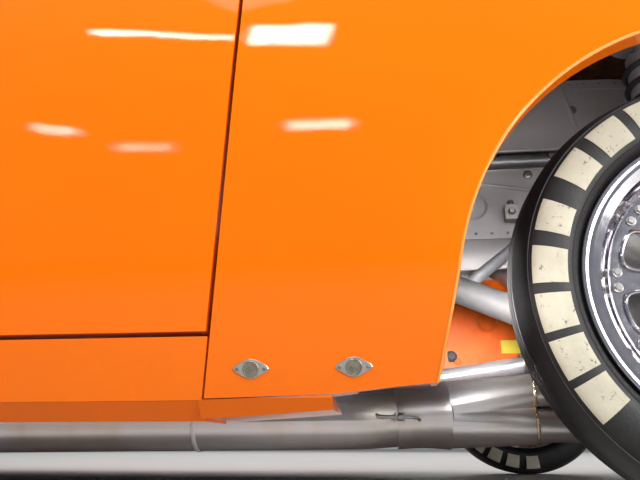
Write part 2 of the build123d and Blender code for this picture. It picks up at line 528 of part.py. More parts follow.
# ---------------------------------------------------------------- exhaust: four primaries, merge collector, one long pipe
PIPE_Y, R_PRI = -540.0, 25.5
# primary paths, port first: x, y, z of each corner
PRIMARIES = [
    [(1400, -264, 470), (1400, -445, 440), (1400, -473, 126), (1172, -473, 126)],
    [(1290, -264, 470), (1290, -445, 440), (1300, -473, 180), (1172, -473, 180)],
    [(1180, -264, 470), (1262, -527, 320), (1345, -527, 126), (1172, -527, 126)],
    [(1070, -264, 470), (1030, -430, 400), (1190, -527, 305), (1275, -527, 180), (1172, -527, 180)],
]
primaries = [bent(p, 44, R_PRI) for p in PRIMARIES]
flange = box(1030, 1440, -270, -262, 438, 504)
COLL_DIR = (-1, -0.12, -0.06)
mouths = [(-473, 126), (-473, 180), (-527, 126), (-527, 180)]          # where the primaries enter: y, z
lobes = [
    loft([Plane((1176, y, z), z_dir=COLL_DIR) * Circle(29.5), Plane((1036, -517 + 0.42 * (y + 500), 144 + 0.42 * (z - 153)), z_dir=COLL_DIR) * Circle(42)])
    for y, z in mouths
]
core = loft([
    Plane((1172, -500, 153), z_dir=COLL_DIR) * RectangleRounded(62, 62, 14),
    Plane((1036, -517, 144), z_dir=COLL_DIR) * Circle(50),
    Plane((985, -523, 141), z_dir=COLL_DIR) * Circle(45),
])
collector = part(lobes + [part(core)])
header = cut(part(primaries + [flange, collector]), box(900, 1500, -262, 0, 300, 700))
pipe = bent([(992, -522, 141), (900, PIPE_Y, 134), (-470, PIPE_Y, 122), (-700, -640, 118)], 120, 44.5, 41.5)
slip = tube((948, -527, 138.5), (988, -522, 141), 48, 42.5)
save("headers", both(header))
save("inner_panels", both(cut(panel, header)))
save("exhaust_pipes", both(cut(part(pipe), header)))

# ---------------------------------------------------------------- front suspension
print("suspension")
arm = part([tube((XF - 69, -444, 262), (XF, KP_Y, 178), 13), tube((XF + 146, -444, 278), (XF, KP_Y, 178), 13), Pos(XF, KP_Y, 177) * Cylinder(26, 26)])
save("front_lower_arms", both(arm))
save("steering_rack", part([tube((1590, -360, 236), (1590, 360, 236), 24)]))
knuckle = part([
    box(XF - 28, XF + 28, -672, -606, 219, 372),
    Pos(XF, KP_Y, 212) * Cylinder(8, 18),
    Pos(XF, KP_Y, 420) * Cylinder(25, 110),
    Pos(XF, KP_Y, 600) * Cylinder(34, 264),
    Pos(XF, KP_Y, 744) * Cylinder(14, 40),
    Pos(XF, -700, FT_R) * Rot(90, 0, 0) * Cylinder(20, 100),
    box(XF + 20, XF + 130, -646, -622, 222, 246),
    box(XF - 128, XF - 92, -672, -640, FT_R - 40, FT_R + 40), box(XF - 100, XF - 20, -660, -640, FT_R - 24, FT_R + 24),
])
save("front_knuckle_right", knuckle)
save("front_knuckle_left", left(knuckle))

# wheels: right-hand ones first, outboard is -Y
F_TYRE = [(193, -34), (211, -38), (217, -51), (228, -59), (250, -62), (272, -60), (283, -54), (290, -45), (FT_R, -34), (FT_R, 34), (290, 45), (283, 54), (272, 60), (250, 62), (228, 59), (217, 51), (211, 38), (193, 34)]
F_RIM = [(208, -46), (208, -40), (196, -37), (191, -32), (191, 36), (196, 39), (208, 41), (208, 47), (184, 44), (178, 34), (178, 0), (172, -6), (150, -6), (66, 4), (58, 26), (30, 26), (30, -22), (56, -22), (66, -10), (150, -18), (168, -20), (176, -28), (184, -40), (196, -46)]


def wheel(tyre, rim, x, y, z, n, r0, r1, w0, w1):
    t = ring(tyre, y, x, z)
    r = part(ring(rim, y, x, z))
    r_mid = (r0 + r1) / 2
    for i in range(n):
        a = radians(360.0 * i / n + 14)
        pl = Plane((x + r_mid * cos(a), y + 200, z + r_mid * sin(a)), x_dir=(cos(a), 0, sin(a)), z_dir=(0, -1, 0))
        half = (r1 - r0) / 2
        face = make_face([Line((-half, -w0), (half, -w1)), ThreePointArc((half, -w1), (half + 5, 0), (half, w1)), Line((half, w1), (-half, w0)), ThreePointArc((-half, w0), (-half - 6, 0), (-half, -w0))])
        face = fillet(face.vertices(), 8)
        r = r - extrude(pl * face, 400)
    return t, part(r)


ft, fr = wheel(F_TYRE, F_RIM, XF, -F_TRACK / 2, FT_R, 10, 92, 150, 14, 32)
save("front_tyre_right", ft)
save("front_tyre_left", left(ft))
save("front_rim_right", fr)
save("front_rim_left", left(fr))
fd = part([ring([(62, 30), (150, 30), (150, 42), (62, 42)], -F_TRACK / 2 + 4, XF, FT_R), ring([(34, 27), (70, 27), (70, 40), (34, 40)], -F_TRACK / 2, XF, FT_R)])
save("brake_disc_right", fd)
save("brake_disc_left", left(fd))

R_TYRE = [(193, -120), (216, -126), (226, -146), (262, -163), (330, -165), (380, -158), (394, -148), (RT_R, -130), (RT_R, 130), (394, 148), (380, 158), (330, 165), (262, 163), (226, 146), (216, 126), (193, 120)]
R_RIM = [(208, -134), (208, -128), (196, -124), (190, -118), (190, 118), (196, 124), (208, 128), (208, 134), (184, 130), (182, 90), (182, 20), (172, 12), (150, 8), (66, 14), (62, 40), (26, 40), (26, -16), (58, -16), (66, -2), (150, -6), (172, -8), (182, -20), (182, -122), (192, -132)]
rt, rr = wheel(R_TYRE, R_RIM, XR, -R_TRACK / 2, RT_R, 10, 92, 150, 14, 32)
save("rear_tyre_right", rt)
save("rear_tyre_left", left(rt))
save("rear_rim_right", rr)
save("rear_rim_left", left(rr))

axle = part([tube((XR, -560, RT_R), (XR, 560, RT_R), 42), Pos(XR, 0, RT_R) * Rot(90, 0, 0) * Cylinder(142, 120), Pos(XR + 110, 0, RT_R) * Rot(0, 90, 0) * Cylinder(60, 110)] + both(Pos(XR, -575, RT_R) * Rot(90, 0, 0) * Cylinder(110, 40), Pos(XR, -650, RT_R) * Rot(90, 0, 0) * Cylinder(20, 130)))
save("rear_axle", axle)
links = both(tube((XR + 40, -330, 316), (-575, -330, 236), 14), tube((XR + 40, -330, 490), (-700, -330, 500), 14), Pos(XR - 150, -390, 470) * Cylinder(40, 240))
save("rear_links", links)

# ---------------------------------------------------------------- cabin
print("cabin")
CAGE_R = 19.0
hoop = bent([(-440, -640, FLOOR_Z + 11), (-440, -660, 800), (-440, -530, 1160), (-440, 530, 1160), (-440, 660, 800), (-440, 640, FLOOR_Z + 11)], 90, CAGE_R)
front_bar = bent([(600, -650, FLOOR_Z + 11), (560, -655, 800), (30, -545, 1148), (-440, -528, 1158)], 90, CAGE_R)
door_bars = [tube((590, -650, 400), (-440, -652, 500), CAGE_R), tube((585, -652, 520), (-440, -645, 330), CAGE_R)]
rear_brace = tube((-440, -500, 1160), (-1044, -422, DIFF_Z + 24), CAGE_R)
cage = part([hoop, tube((-440, -655, 700), (-440, 655, 700), CAGE_R)] + both(front_bar, door_bars, rear_brace))
save("roll_cage", cage)
SEAT_Y = 412.0
seat_side = side_prism([(330, 206), (330, 330), (300, 350), (-60, 318), (-150, 470), (-260, 900), (-330, 900), (-350, 860), (-270, 500), (-200, 206)], SEAT_Y - 205, SEAT_Y + 205)
seat_in = side_prism([(340, 340), (-40, 320), (-116, 470), (-222, 905), (400, 905)], SEAT_Y - 160, SEAT_Y + 160)
seat_open = side_prism([(340, 400), (100, 420), (0, 470), (-120, 700), (-190, 905), (400, 905)], SEAT_Y - 260, SEAT_Y + 260)
save("driver_seat", cut(part(seat_side + side_prism([(330, 330), (300, 400), (60, 430), (-40, 480), (-160, 720), (-230, 900), (-330, 900), (-200, 300)], SEAT_Y - 205, SEAT_Y + 205)), seat_in, seat_open))
dash = side_prism([(640, 690), (700, 690), (700, 800), (560, 812), (470, 790), (455, 700), (480, 680)], -628, 628)
save("dashboard", part(dash))
sw_axis = Vector(-1, 0, 0.42).normalized()
SW = (330.0, SEAT_Y, 742.0)
sw_plane = Plane(SW, x_dir=(0, 1, 0), z_dir=tuple(sw_axis))
rim_ = sw_plane * Torus(170, 13)
spokes = [sw_plane * (Rot(0, 0, a) * Pos(85, 0, -8) * Box(170, 26, 5)) for a in (0, 180, 270)]
save("steering_wheel", part([rim_, sw_plane * Pos(0, 0, -14) * Cylinder(34, 36)] + spokes))
col_end = Vector(*SW) - sw_axis * 40
save("steering_column", tube(tuple(col_end), tuple(col_end - sw_axis * 80), 22))
save("shifter", part([box(150, 260, -30, 30, 477, 500), tube((205, 0, 498), (170, 0, 640), 8), Pos(168, 0, 650) * Sphere(22)]))
print(len(made), "pieces")
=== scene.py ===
import json
import math
import random

import bmesh
import bpy
from mathutils import Matrix, Vector


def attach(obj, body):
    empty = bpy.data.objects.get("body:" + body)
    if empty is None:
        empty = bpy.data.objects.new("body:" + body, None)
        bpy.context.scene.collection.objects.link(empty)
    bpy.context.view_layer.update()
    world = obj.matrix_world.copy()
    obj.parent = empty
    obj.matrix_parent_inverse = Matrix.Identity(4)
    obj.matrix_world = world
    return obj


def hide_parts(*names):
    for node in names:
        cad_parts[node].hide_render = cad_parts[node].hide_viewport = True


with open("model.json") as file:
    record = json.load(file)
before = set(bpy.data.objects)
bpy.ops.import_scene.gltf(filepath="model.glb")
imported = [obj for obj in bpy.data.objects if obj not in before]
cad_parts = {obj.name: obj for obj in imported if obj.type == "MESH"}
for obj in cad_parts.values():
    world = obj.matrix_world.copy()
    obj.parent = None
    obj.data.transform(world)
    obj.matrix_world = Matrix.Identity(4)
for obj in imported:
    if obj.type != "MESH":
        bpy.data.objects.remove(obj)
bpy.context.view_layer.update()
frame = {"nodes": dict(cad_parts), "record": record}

random.seed(7)
scene = bpy.context.scene
XF, XR, ARCH_X = 1.407, -1.329, 1.414
FY = 0.750
FR, RR = 0.293, 0.400
NODES = frame["nodes"]


# ---------------------------------------------------------------- materials
def new_mat(name):
    m = bpy.data.materials.new(name)
    m.use_nodes = True
    nt = m.node_tree
    for n in list(nt.nodes):
        nt.nodes.remove(n)
    out = nt.nodes.new("ShaderNodeOutputMaterial")
    b = nt.nodes.new("ShaderNodeBsdfPrincipled")
    nt.links.new(b.outputs[0], out.inputs[0])
    return m, nt, b


def noise(nt, scale, detail=4.0, rough=0.55, stretch=(1, 1, 1)):
    tc = nt.nodes.new("ShaderNodeTexCoord")
    mp = nt.nodes.new("ShaderNodeMapping")
    mp.inputs["Scale"].default_value = stretch
    n = nt.nodes.new("ShaderNodeTexNoise")
    n.inputs["Scale"].default_value = scale
    n.inputs["Detail"].default_value = detail
    n.inputs["Roughness"].default_value = rough
    nt.links.new(tc.outputs["Object"], mp.inputs["Vector"])
    nt.links.new(mp.outputs["Vector"], n.inputs["Vector"])
    return n


def ramp(nt, src, stops):
    r = nt.nodes.new("ShaderNodeValToRGB")
    els = r.color_ramp.elements
    while len(els) < len(stops):
        els.new(0.5)
    for e, (p, c) in zip(els, stops):
        e.position = p
        e.color = c if len(c) == 4 else (*c, 1.0)
    nt.links.new(src, r.inputs[0])
    return r


def tone(c, k):
    return tuple(min(1.0, v * k) for v in c[:3])


def surface(name, base, rough=0.5, metal=0.0, coat=0.0, coat_rough=0.03, vary=0.12, scale=6.0, bump=0.0, bump_scale=200.0, rough_vary=0.1, stretch=(1, 1, 1), spec=0.5, dirt=0.0, alpha=1.0, transmission=0.0, ior=1.45, speck=None):
    m, nt, b = new_mat(name)
    n = noise(nt, scale, stretch=stretch)
    col = ramp(nt, n.outputs["Fac"], [(0.3, tone(base, 1 - vary)), (0.7, tone(base, 1 + vary))])
    out = col.outputs[0]
    if dirt > 0:
        geo = nt.nodes.new("ShaderNodeNewGeometry")
        sep = nt.nodes.new("ShaderNodeSeparateXYZ")
        tc = nt.nodes.new("ShaderNodeTexCoord")
        nt.links.new(tc.outputs["Object"], sep.inputs[0])
        mr = nt.nodes.new("ShaderNodeMapRange")
        mr.inputs["From Min"].default_value = 0.12
        mr.inputs["From Max"].default_value = 0.42
        mr.inputs["To Min"].default_value = dirt
        mr.inputs["To Max"].default_value = 0.0
        nt.links.new(sep.outputs["Z"], mr.inputs["Value"])
        nd = noise(nt, 38.0, detail=8.0, rough=0.7)
        mul = nt.nodes.new("ShaderNodeMath")
        mul.operation = "MULTIPLY"
        nt.links.new(mr.outputs[0], mul.inputs[0])
        nt.links.new(nd.outputs["Fac"], mul.inputs[1])
        mix = nt.nodes.new("ShaderNodeMixRGB")
        mix.inputs[2].default_value = (0.16, 0.13, 0.11, 1)
        nt.links.new(mul.outputs[0], mix.inputs[0])
        nt.links.new(out, mix.inputs[1])
        out = mix.outputs[0]
    if speck:
        ns = noise(nt, speck[0], detail=6.0, rough=0.75)
        rs = ramp(nt, ns.outputs["Fac"], [(speck[1] - 0.03, (0, 0, 0)), (speck[1] + 0.03, (1, 1, 1))])
        mix = nt.nodes.new("ShaderNodeMixRGB")
        mix.inputs[2].default_value = (*speck[2], 1)
        nt.links.new(rs.outputs[0], mix.inputs[0])
        nt.links.new(out, mix.inputs[1])
        out = mix.outputs[0]
    nt.links.new(out, b.inputs["Base Color"])
    rr = nt.nodes.new("ShaderNodeMapRange")
    rr.inputs["From Min"].default_value = 0.3
    rr.inputs["From Max"].default_value = 0.7
    rr.inputs["To Min"].default_value = max(0.02, rough * (1 - rough_vary))
    rr.inputs["To Max"].default_value = min(1.0, rough * (1 + rough_vary))
    n2 = noise(nt, scale * 3.1, detail=6.0)
    nt.links.new(n2.outputs["Fac"], rr.inputs["Value"])
    nt.links.new(rr.outputs[0], b.inputs["Roughness"])
    b.inputs["Metallic"].default_value = metal
    b.inputs["Coat Weight"].default_value = coat
    b.inputs["Coat Roughness"].default_value = coat_rough
    b.inputs["Specular IOR Level"].default_value = spec
    b.inputs["IOR"].default_value = ior
    b.inputs["Transmission Weight"].default_value = transmission
    b.inputs["Alpha"].default_value = alpha
    if bump > 0:
        nb = noise(nt, bump_scale, detail=3.0, stretch=stretch)
        bp = nt.nodes.new("ShaderNodeBump")
        bp.inputs["Strength"].default_value = bump
        bp.inputs["Distance"].default_value = 0.001
        nt.links.new(nb.outputs["Fac"], bp.inputs["Height"])
        nt.links.new(bp.outputs[0], b.inputs["Normal"])
    return m


def two_sided_paint(name, outer, inner):
    """Gloss paint outside; on faces that look towards the car's middle, a dull dark undercoat."""
    m, nt, b = new_mat(name)
    tc = nt.nodes.new("ShaderNodeTexCoord")
    sub = nt.nodes.new("ShaderNodeVectorMath")
    sub.operation = "SUBTRACT"
    sub.inputs[1].default_value = (0.0, 0.0, 0.42)
    nt.links.new(tc.outputs["Object"], sub.inputs[0])
    flat = nt.nodes.new("ShaderNodeVectorMath")
    flat.operation = "MULTIPLY"
    flat.inputs[1].default_value = (0.22, 1.0, 1.0)
    nt.links.new(sub.outputs[0], flat.inputs[0])
    unit = nt.nodes.new("ShaderNodeVectorMath")
    unit.operation = "NORMALIZE"
    nt.links.new(flat.outputs[0], unit.inputs[0])
    dot = nt.nodes.new("ShaderNodeVectorMath")
    dot.operation = "DOT_PRODUCT"
    nt.links.new(unit.outputs[0], dot.inputs[0])
    nt.links.new(tc.outputs["Normal"], dot.inputs[1])
    side = nt.nodes.new("ShaderNodeMapRange")
    side.inputs["From Min"].default_value = -0.56
    side.inputs["From Max"].default_value = -0.44
    nt.links.new(dot.outputs["Value"], side.inputs["Value"])
    n = noise(nt, 2.0)
    good = ramp(nt, n.outputs["Fac"], [(0.3, tone(outer, 0.96)), (0.7, tone(outer, 1.04))])
    n2 = noise(nt, 22.0, detail=8.0, rough=0.7)
    dull = ramp(nt, n2.outputs["Fac"], [(0.35, tone(inner, 0.5)), (0.65, tone(inner, 1.5))])
    mix = nt.nodes.new("ShaderNodeMixRGB")
    nt.links.new(side.outputs[0], mix.inputs[0])
    nt.links.new(dull.outputs[0], mix.inputs[1])
    nt.links.new(good.outputs[0], mix.inputs[2])
    # road film near the bottom edges
    sep = nt.nodes.new("ShaderNodeSeparateXYZ")
    nt.links.new(tc.outputs["Object"], sep.inputs[0])
    low = nt.nodes.new("ShaderNodeMapRange")
    low.inputs["From Min"].default_value = 0.12
    low.inputs["From Max"].default_value = 0.30
    low.inputs["To Min"].default_value = 0.22
    low.inputs["To Max"].default_value = 0.0
    nt.links.new(sep.outputs["Z"], low.inputs["Value"])
    nd = noise(nt, 38.0, detail=8.0, rough=0.7)
    mul = nt.nodes.new("ShaderNodeMath")
    mul.operation = "MULTIPLY"
    nt.links.new(low.outputs[0], mul.inputs[0])
    nt.links.new(nd.outputs["Fac"], mul.inputs[1])
    film = nt.nodes.new("ShaderNodeMixRGB")
    film.inputs[2].default_value = (0.30, 0.12, 0.05, 1)
    nt.links.new(mul.outputs[0], film.inputs[0])
    nt.links.new(mix.outputs[0], film.inputs[1])
    nt.links.new(film.outputs[0], b.inputs["Base Color"])
    rr = nt.nodes.new("ShaderNodeMapRange")
    rr.inputs["To Min"].default_value = 0.75
    rr.inputs["To Max"].default_value = 0.34
    nt.links.new(side.outputs[0], rr.inputs["Value"])
    nt.links.new(rr.outputs[0], b.inputs["Roughness"])
    nt.links.new(side.outputs[0], b.inputs["Coat Weight"])
    b.inputs["Coat Roughness"].default_value = 0.02
    b.inputs["Coat IOR"].default_value = 1.32
    b.inputs["Specular IOR Level"].default_value = 0.0
    nb = noise(nt, 520.0, detail=2.0)
    bp = nt.nodes.new("ShaderNodeBump")
    bp.inputs["Strength"].default_value = 0.03
    bp.inputs["Distance"].default_value = 0.001
    nt.links.new(nb.outputs["Fac"], bp.inputs["Height"])
    nt.links.new(bp.outputs[0], b.inputs["Coat Normal"])
    return m


def heat_metal(name):
    """Stainless pipe: fine lengthwise brushing with straw and brown heat tint in broad bands."""
    m, nt, b = new_mat(name)
    n = noise(nt, 3.2, detail=3.0, stretch=(2.2, 1.0, 1.0))
    c = ramp(nt, n.outputs["Fac"], [(0.28, (0.74, 0.74, 0.77)), (0.50, (0.78, 0.77, 0.79)), (0.60, (0.74, 0.69, 0.64)), (0.66, (0.68, 0.62, 0.60)), (0.76, (0.72, 0.72, 0.78))])
    fine = noise(nt, 60.0, detail=8.0, rough=0.7, stretch=(0.08, 1, 1))
    mix = nt.nodes.new("ShaderNodeMixRGB")
    mix.blend_type = "MULTIPLY"
    mix.inputs[0].default_value = 0.35
    g = ramp(nt, fine.outputs["Fac"], [(0.3, (0.55, 0.55, 0.55)), (0.7, (1, 1, 1))])
    nt.links.new(c.outputs[0], mix.inputs[1])
    nt.links.new(g.outputs[0], mix.inputs[2])
    nt.links.new(mix.outputs[0], b.inputs["Base Color"])
    b.inputs["Metallic"].default_value = 0.85
    rr = nt.nodes.new("ShaderNodeMapRange")
    rr.inputs["To Min"].default_value = 0.22
    rr.inputs["To Max"].default_value = 0.44
    nt.links.new(fine.outputs["Fac"], rr.inputs["Value"])
    nt.links.new(rr.outputs[0], b.inputs["Roughness"])
    bp = nt.nodes.new("ShaderNodeBump")
    bp.inputs["Strength"].default_value = 0.12
    bp.inputs["Distance"].default_value = 0.0006
    nt.links.new(fine.outputs["Fac"], bp.inputs["Height"])
    nt.links.new(bp.outputs[0], b.inputs["Normal"])
    return m


M = {
    "orange_paint": two_sided_paint("orange_paint", (0.93, 0.172, 0.0), (0.075, 0.032, 0.018)),
    # orange_inside is the body orange at about half brightness for faces inside the body: painted shade; dirt=0.6 also
    # darkens it towards the bottom in noisy patches
    "orange_inside": surface("orange_inside", (0.42, 0.10, 0.012), rough=0.55, vary=0.25, scale=14.0, bump=0.15, bump_scale=160.0, dirt=0.6),
    "clear_glass": surface("clear_glass", (0.86, 0.92, 0.92), rough=0.03, vary=0.03, scale=4.0, transmission=1.0, ior=1.45, alpha=0.35, rough_vary=0.3),
    "bright_chrome": surface("bright_chrome", (0.86, 0.86, 0.87), rough=0.07, metal=1.0, vary=0.04, scale=8.0, rough_vary=0.5, bump=0.02, bump_scale=90.0),
    "lamp_glass": surface("lamp_glass", (0.93, 0.94, 0.96), rough=0.08, vary=0.04, scale=20.0, coat=0.6, bump=0.5, bump_scale=70.0, alpha=0.55, transmission=0.6),
    "red_lens": surface("red_lens", (0.42, 0.008, 0.008), rough=0.16, coat=0.8, vary=0.2, scale=30.0, bump=0.4, bump_scale=120.0),
    "black_trim": surface("black_trim", (0.022, 0.022, 0.024), rough=0.5, vary=0.3, scale=18.0, bump=0.2, bump_scale=400.0),
    "floor_paint": surface("floor_paint", (0.045, 0.045, 0.048), rough=0.62, vary=0.3, scale=9.0, bump=0.25, bump_scale=130.0, speck=(46.0, 0.66, (0.15, 0.13, 0.11))),
    "chassis_paint": surface("chassis_paint", (0.46, 0.46, 0.50), rough=0.36, metal=0.55, coat=0.3, vary=0.15, scale=16.0, bump=0.10, bump_scale=240.0),
    "sheet_aluminium": surface("sheet_aluminium", (0.74, 0.72, 0.74), rough=0.46, metal=0.40, vary=0.10, scale=5.0, bump=0.16, bump_scale=90.0, stretch=(0.25, 1, 2.4), rough_vary=0.3),
    "radiator_core": surface("radiator_core", (0.16, 0.16, 0.165), rough=0.5, metal=0.8, vary=0.3, scale=60.0, bump=0.6, bump_scale=300.0, stretch=(1, 1, 4)),
    "engine_paint": surface("engine_paint", (0.80, 0.130, 0.004), rough=0.50, coat=0.12, coat_rough=0.2, spec=0.25, vary=0.22, scale=16.0, bump=0.35, bump_scale=150.0, speck=(60.0, 0.68, (0.10, 0.05, 0.03))),
    "cast_case": surface("cast_case", (0.42, 0.42, 0.42), rough=0.55, metal=0.9, vary=0.18, scale=22.0, bump=0.6, bump_scale=220.0),
    "stainless": heat_metal("stainless"),
    "weld": surface("weld", (0.74, 0.56, 0.42), rough=0.24, metal=1.0, vary=0.4, scale=80.0, bump=0.3, bump_scale=300.0),
    "spun_aluminium": surface("spun_aluminium", (0.54, 0.52, 0.57), rough=0.12, metal=1.0, vary=0.06, scale=24.0, rough_vary=0.25, bump=0.012, bump_scale=420.0),
    "web_aluminium": surface("web_aluminium", (0.50, 0.47, 0.42), rough=0.30, metal=1.0, vary=0.2, scale=30.0, rough_vary=0.4, bump=0.15, bump_scale=300.0),
    # the arch lip's orange is brighter and yellower than the body paint: a painted highlight along the rolled edge
    "lip_painted_highlight": surface("lip_painted_highlight", (1.0, 0.30, 0.02), rough=0.22, vary=0.06, scale=30.0, coat=1.0, coat_rough=0.05, bump=0.04, bump_scale=300.0),
    "zinc_head": surface("zinc_head", (0.26, 0.25, 0.20), rough=0.42, metal=0.7, vary=0.3, scale=120.0, bump=0.3, bump_scale=500.0),
    "bolt_steel": surface("bolt_steel", (0.46, 0.45, 0.44), rough=0.34, metal=0.9, vary=0.15, scale=90.0, bump=0.1, bump_scale=500.0),
    "tyre_rubber": surface("tyre_rubber", (0.012, 0.0115, 0.0125), rough=0.52, vary=0.35, scale=12.0, bump=0.35, bump_scale=260.0, speck=(70.0, 0.69, (0.06, 0.055, 0.05))),
    "tyre_white": surface("tyre_white", (0.52, 0.49, 0.39), rough=0.62, vary=0.10, scale=30.0, bump=0.25, bump_scale=260.0, speck=(110.0, 0.63, (0.10, 0.09, 0.085))),
    "iron_disc": surface("iron_disc", (0.30, 0.29, 0.28), rough=0.35, metal=1.0, vary=0.2, scale=30.0, bump=0.3, bump_scale=60.0, stretch=(1, 1, 1)),
    "seat_cover": surface("seat_cover", (0.028, 0.027, 0.027), rough=0.5, vary=0.3, scale=10.0, bump=0.5, bump_scale=340.0),
    "cage_paint": surface("cage_paint", (0.04, 0.04, 0.042), rough=0.38, coat=0.4, vary=0.25, scale=15.0, bump=0.1, bump_scale=300.0),
    "dark_void": surface("dark_void", (0.012, 0.012, 0.012), rough=0.85, vary=0.4, scale=12.0, bump=0.2, bump_scale=100.0),
    "sticker": surface("sticker", (0.80, 0.62, 0.04), rough=0.45, vary=0.08, scale=20.0, coat=0.3, bump=0.05, bump_scale=200.0),
    "belt_red": surface("belt_red", (0.42, 0.02, 0.02), rough=0.75, vary=0.15, scale=60.0, bump=0.6, bump_scale=700.0),
    "dial_white": surface("dial_white", (0.75, 0.75, 0.73), rough=0.35, vary=0.1, scale=60.0, coat=0.5),
}
CAD_MAT = {s["node"]: s["material_slot"] for s in frame["record"]["subparts"]}
for name, ob in NODES.items():
    ob.data.materials.clear()
    ob.data.materials.append(M[CAD_MAT[name]])
    for p in ob.data.polygons:
        p.use_smooth = True
    ob.data.set_sharp_from_angle(angle=math.radians(32))


# ---------------------------------------------------------------- mesh building
class Batch:
    """Geometry gathered into one mesh: verts, faces, and a material."""

    def __init__(self):
        self.v, self.f = [], []

    def add(self, verts, faces):
        k = len(self.v)
        self.v += [tuple(p) for p in verts]
        self.f += [tuple(i + k for i in f) for f in faces]

    def obj(self, name, mat, body, slot=None, replaces=(), sharp=35.0, bevel=0.0):
        me = bpy.data.meshes.new(name)
        me.from_pydata(self.v, [], self.f)
        me.validate()
        bm = bmesh.new()
        bm.from_mesh(me)
        bmesh.ops.recalc_face_normals(bm, faces=bm.faces)
        bm.to_mesh(me)
        bm.free()
        for p in me.polygons:
            p.use_smooth = True
        me.set_sharp_from_angle(angle=math.radians(sharp))
        o = bpy.data.objects.new(name, me)
        scene.collection.objects.link(o)
        me.materials.append(M[mat])
        if bevel:
            md = o.modifiers.new("bevel", "BEVEL")
            md.width = bevel
            md.segments = 2
            md.limit_method = "ANGLE"
            md.angle_limit = math.radians(40)
        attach(o, body)
        if replaces:
            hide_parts(*replaces)
        return o


def basis(axis):
    a = Vector(axis).normalized()
    h = Vector((0, 0, 1)) if abs(a.z) < 0.9 else Vector((1, 0, 0))
    u = h.cross(a).normalized()
    return a, u, a.cross(u)


def revolve(batch, centre, axis, profile, n=96, closed=False, a0=0.0, a1=2 * math.pi):
    """profile: (radius, distance along axis). An open profile gives a skin; a closed one a ring."""
    a, u, v = basis(axis)
    c = Vector(centre)
    full = abs(a1 - a0 - 2 * math.pi) < 1e-6
    steps = n if full else n + 1
    verts = []
    for i in range(steps):
        t = a0 + (a1 - a0) * i / n
        d = u * math.cos(t) + v * math.sin(t)
        for r, h in profile:
            verts.append(c + d * r + a * h)
    m = len(profile)
    faces = []
    for i in range(n):
        j = (i + 1) % steps if full else i + 1
        for k in range(m if closed else m - 1):
            l = (k + 1) % m
            faces.append((i * m + k, j * m + k, j * m + l, i * m + l))
    batch.add(verts, faces)


def disc(batch, centre, axis, r, h, n=24, dome=0.0):
    """A low solid cylinder standing on centre, h along the axis, with a slight dome."""
    prof = [(r, 0.0), (r, h * 0.75), (r * 0.93, h)]
    if dome:
        prof += [(r * 0.6, h + dome * 0.8), (r * 0.2, h + dome)]
    prof += [(1e-5, h + dome), ]
    revolve(batch, centre, axis, [(1e-5, 0.0)] + prof, n=n)


def cylinder(batch, a, b, r, n=20):
    a, b = Vector(a), Vector(b)
    revolve(batch, a, b - a, [(1e-5, 0), (r, 0), (r, (b - a).length), (1e-5, (b - a).length)], n=n)


def prism(batch, centre, axis, up, outline, h, inset=0.0, bevel_h=0.0):
    """outline: (s, t) points in the plane across the axis; up fixes t. Raised h along the axis with a sloped edge."""
    a = Vector(axis).normalized()
    t = (Vector(up) - a * Vector(up).dot(a)).normalized()
    s = t.cross(a)
    c = Vector(centre)
    m = len(outline)
    k = 1 - inset
    rings = [(1.0, 0.0), (1.0, h - bevel_h), (k, h)]
    verts = [c + s * (p[0] * q) + t * (p[1] * q) + a * z for q, z in rings for p in outline]
    faces = [(i + r * m, (i + 1) % m + r * m, (i + 1) % m + (r + 1) * m, i + (r + 1) * m) for r in range(2) for i in range(m)]
    faces.append(tuple(range(2 * m, 3 * m)))
    faces.append(tuple(reversed(range(m))))
    batch.add(verts, faces)


def hexagon(r):
    return [(r * math.cos(math.radians(60 * i + 30)), r * math.sin(math.radians(60 * i + 30))) for i in range(6)]


def bolt(batch, centre, axis, size, up=(0, 0, 1), washer=True):
    c, a = Vector(centre), Vector(axis).normalized()
    if washer:
        disc(batch, c, a, size * 1.25, size * 0.22, n=20)
        c = c + a * size * 0.2
    prism(batch, c, a, up, hexagon(size), size * 0.75, inset=0.14, bevel_h=size * 0.14)


def wire(batch, pts, r, n=10, close=False):
    """A round bar along points."""
    P = [Vector(p) for p in pts]
    m = len(P)
    rings = []
    ref = None
    for i in range(m):
        if close:
            d = (P[(i + 1) % m] - P[i - 1]).normalized()
        else:
            d = (P[min(i + 1, m - 1)] - P[max(i - 1, 0)]).normalized()
        if ref is None:
            _, u, v = basis(d)
        else:
            u = (ref - d * ref.dot(d)).normalized()
            v = d.cross(u)
        ref = u
        rings.append([P[i] + u * (r * math.cos(2 * math.pi * k / n)) + v * (r * math.sin(2 * math.pi * k / n)) for k in range(n)])
    verts = [p for q in rings for p in q]
    faces = []
    for i in range(m if close else m - 1):
        j = (i + 1) % m
        for k in range(n):
            l = (k + 1) % n
            faces.append((i * n + k, j * n + k, j * n + l, i * n + l))
    if not close:
        faces.append(tuple(range(n)))
        faces.append(tuple(reversed(range((m - 1) * n, m * n))))
    batch.add(verts, faces)


def box_mesh(batch, lo, hi):
    x0, y0, z0 = lo
    x1, y1, z1 = hi
    v = [(x0, y0, z0), (x1, y0, z0), (x1, y1, z0), (x0, y1, z0), (x0, y0, z1), (x1, y0, z1), (x1, y1, z1), (x0, y1, z1)]
    batch.add(v, [(0, 3, 2, 1), (4, 5, 6, 7), (0, 1, 5, 4), (1, 2, 6, 5), (2, 3, 7, 6), (3, 0, 4, 7)])


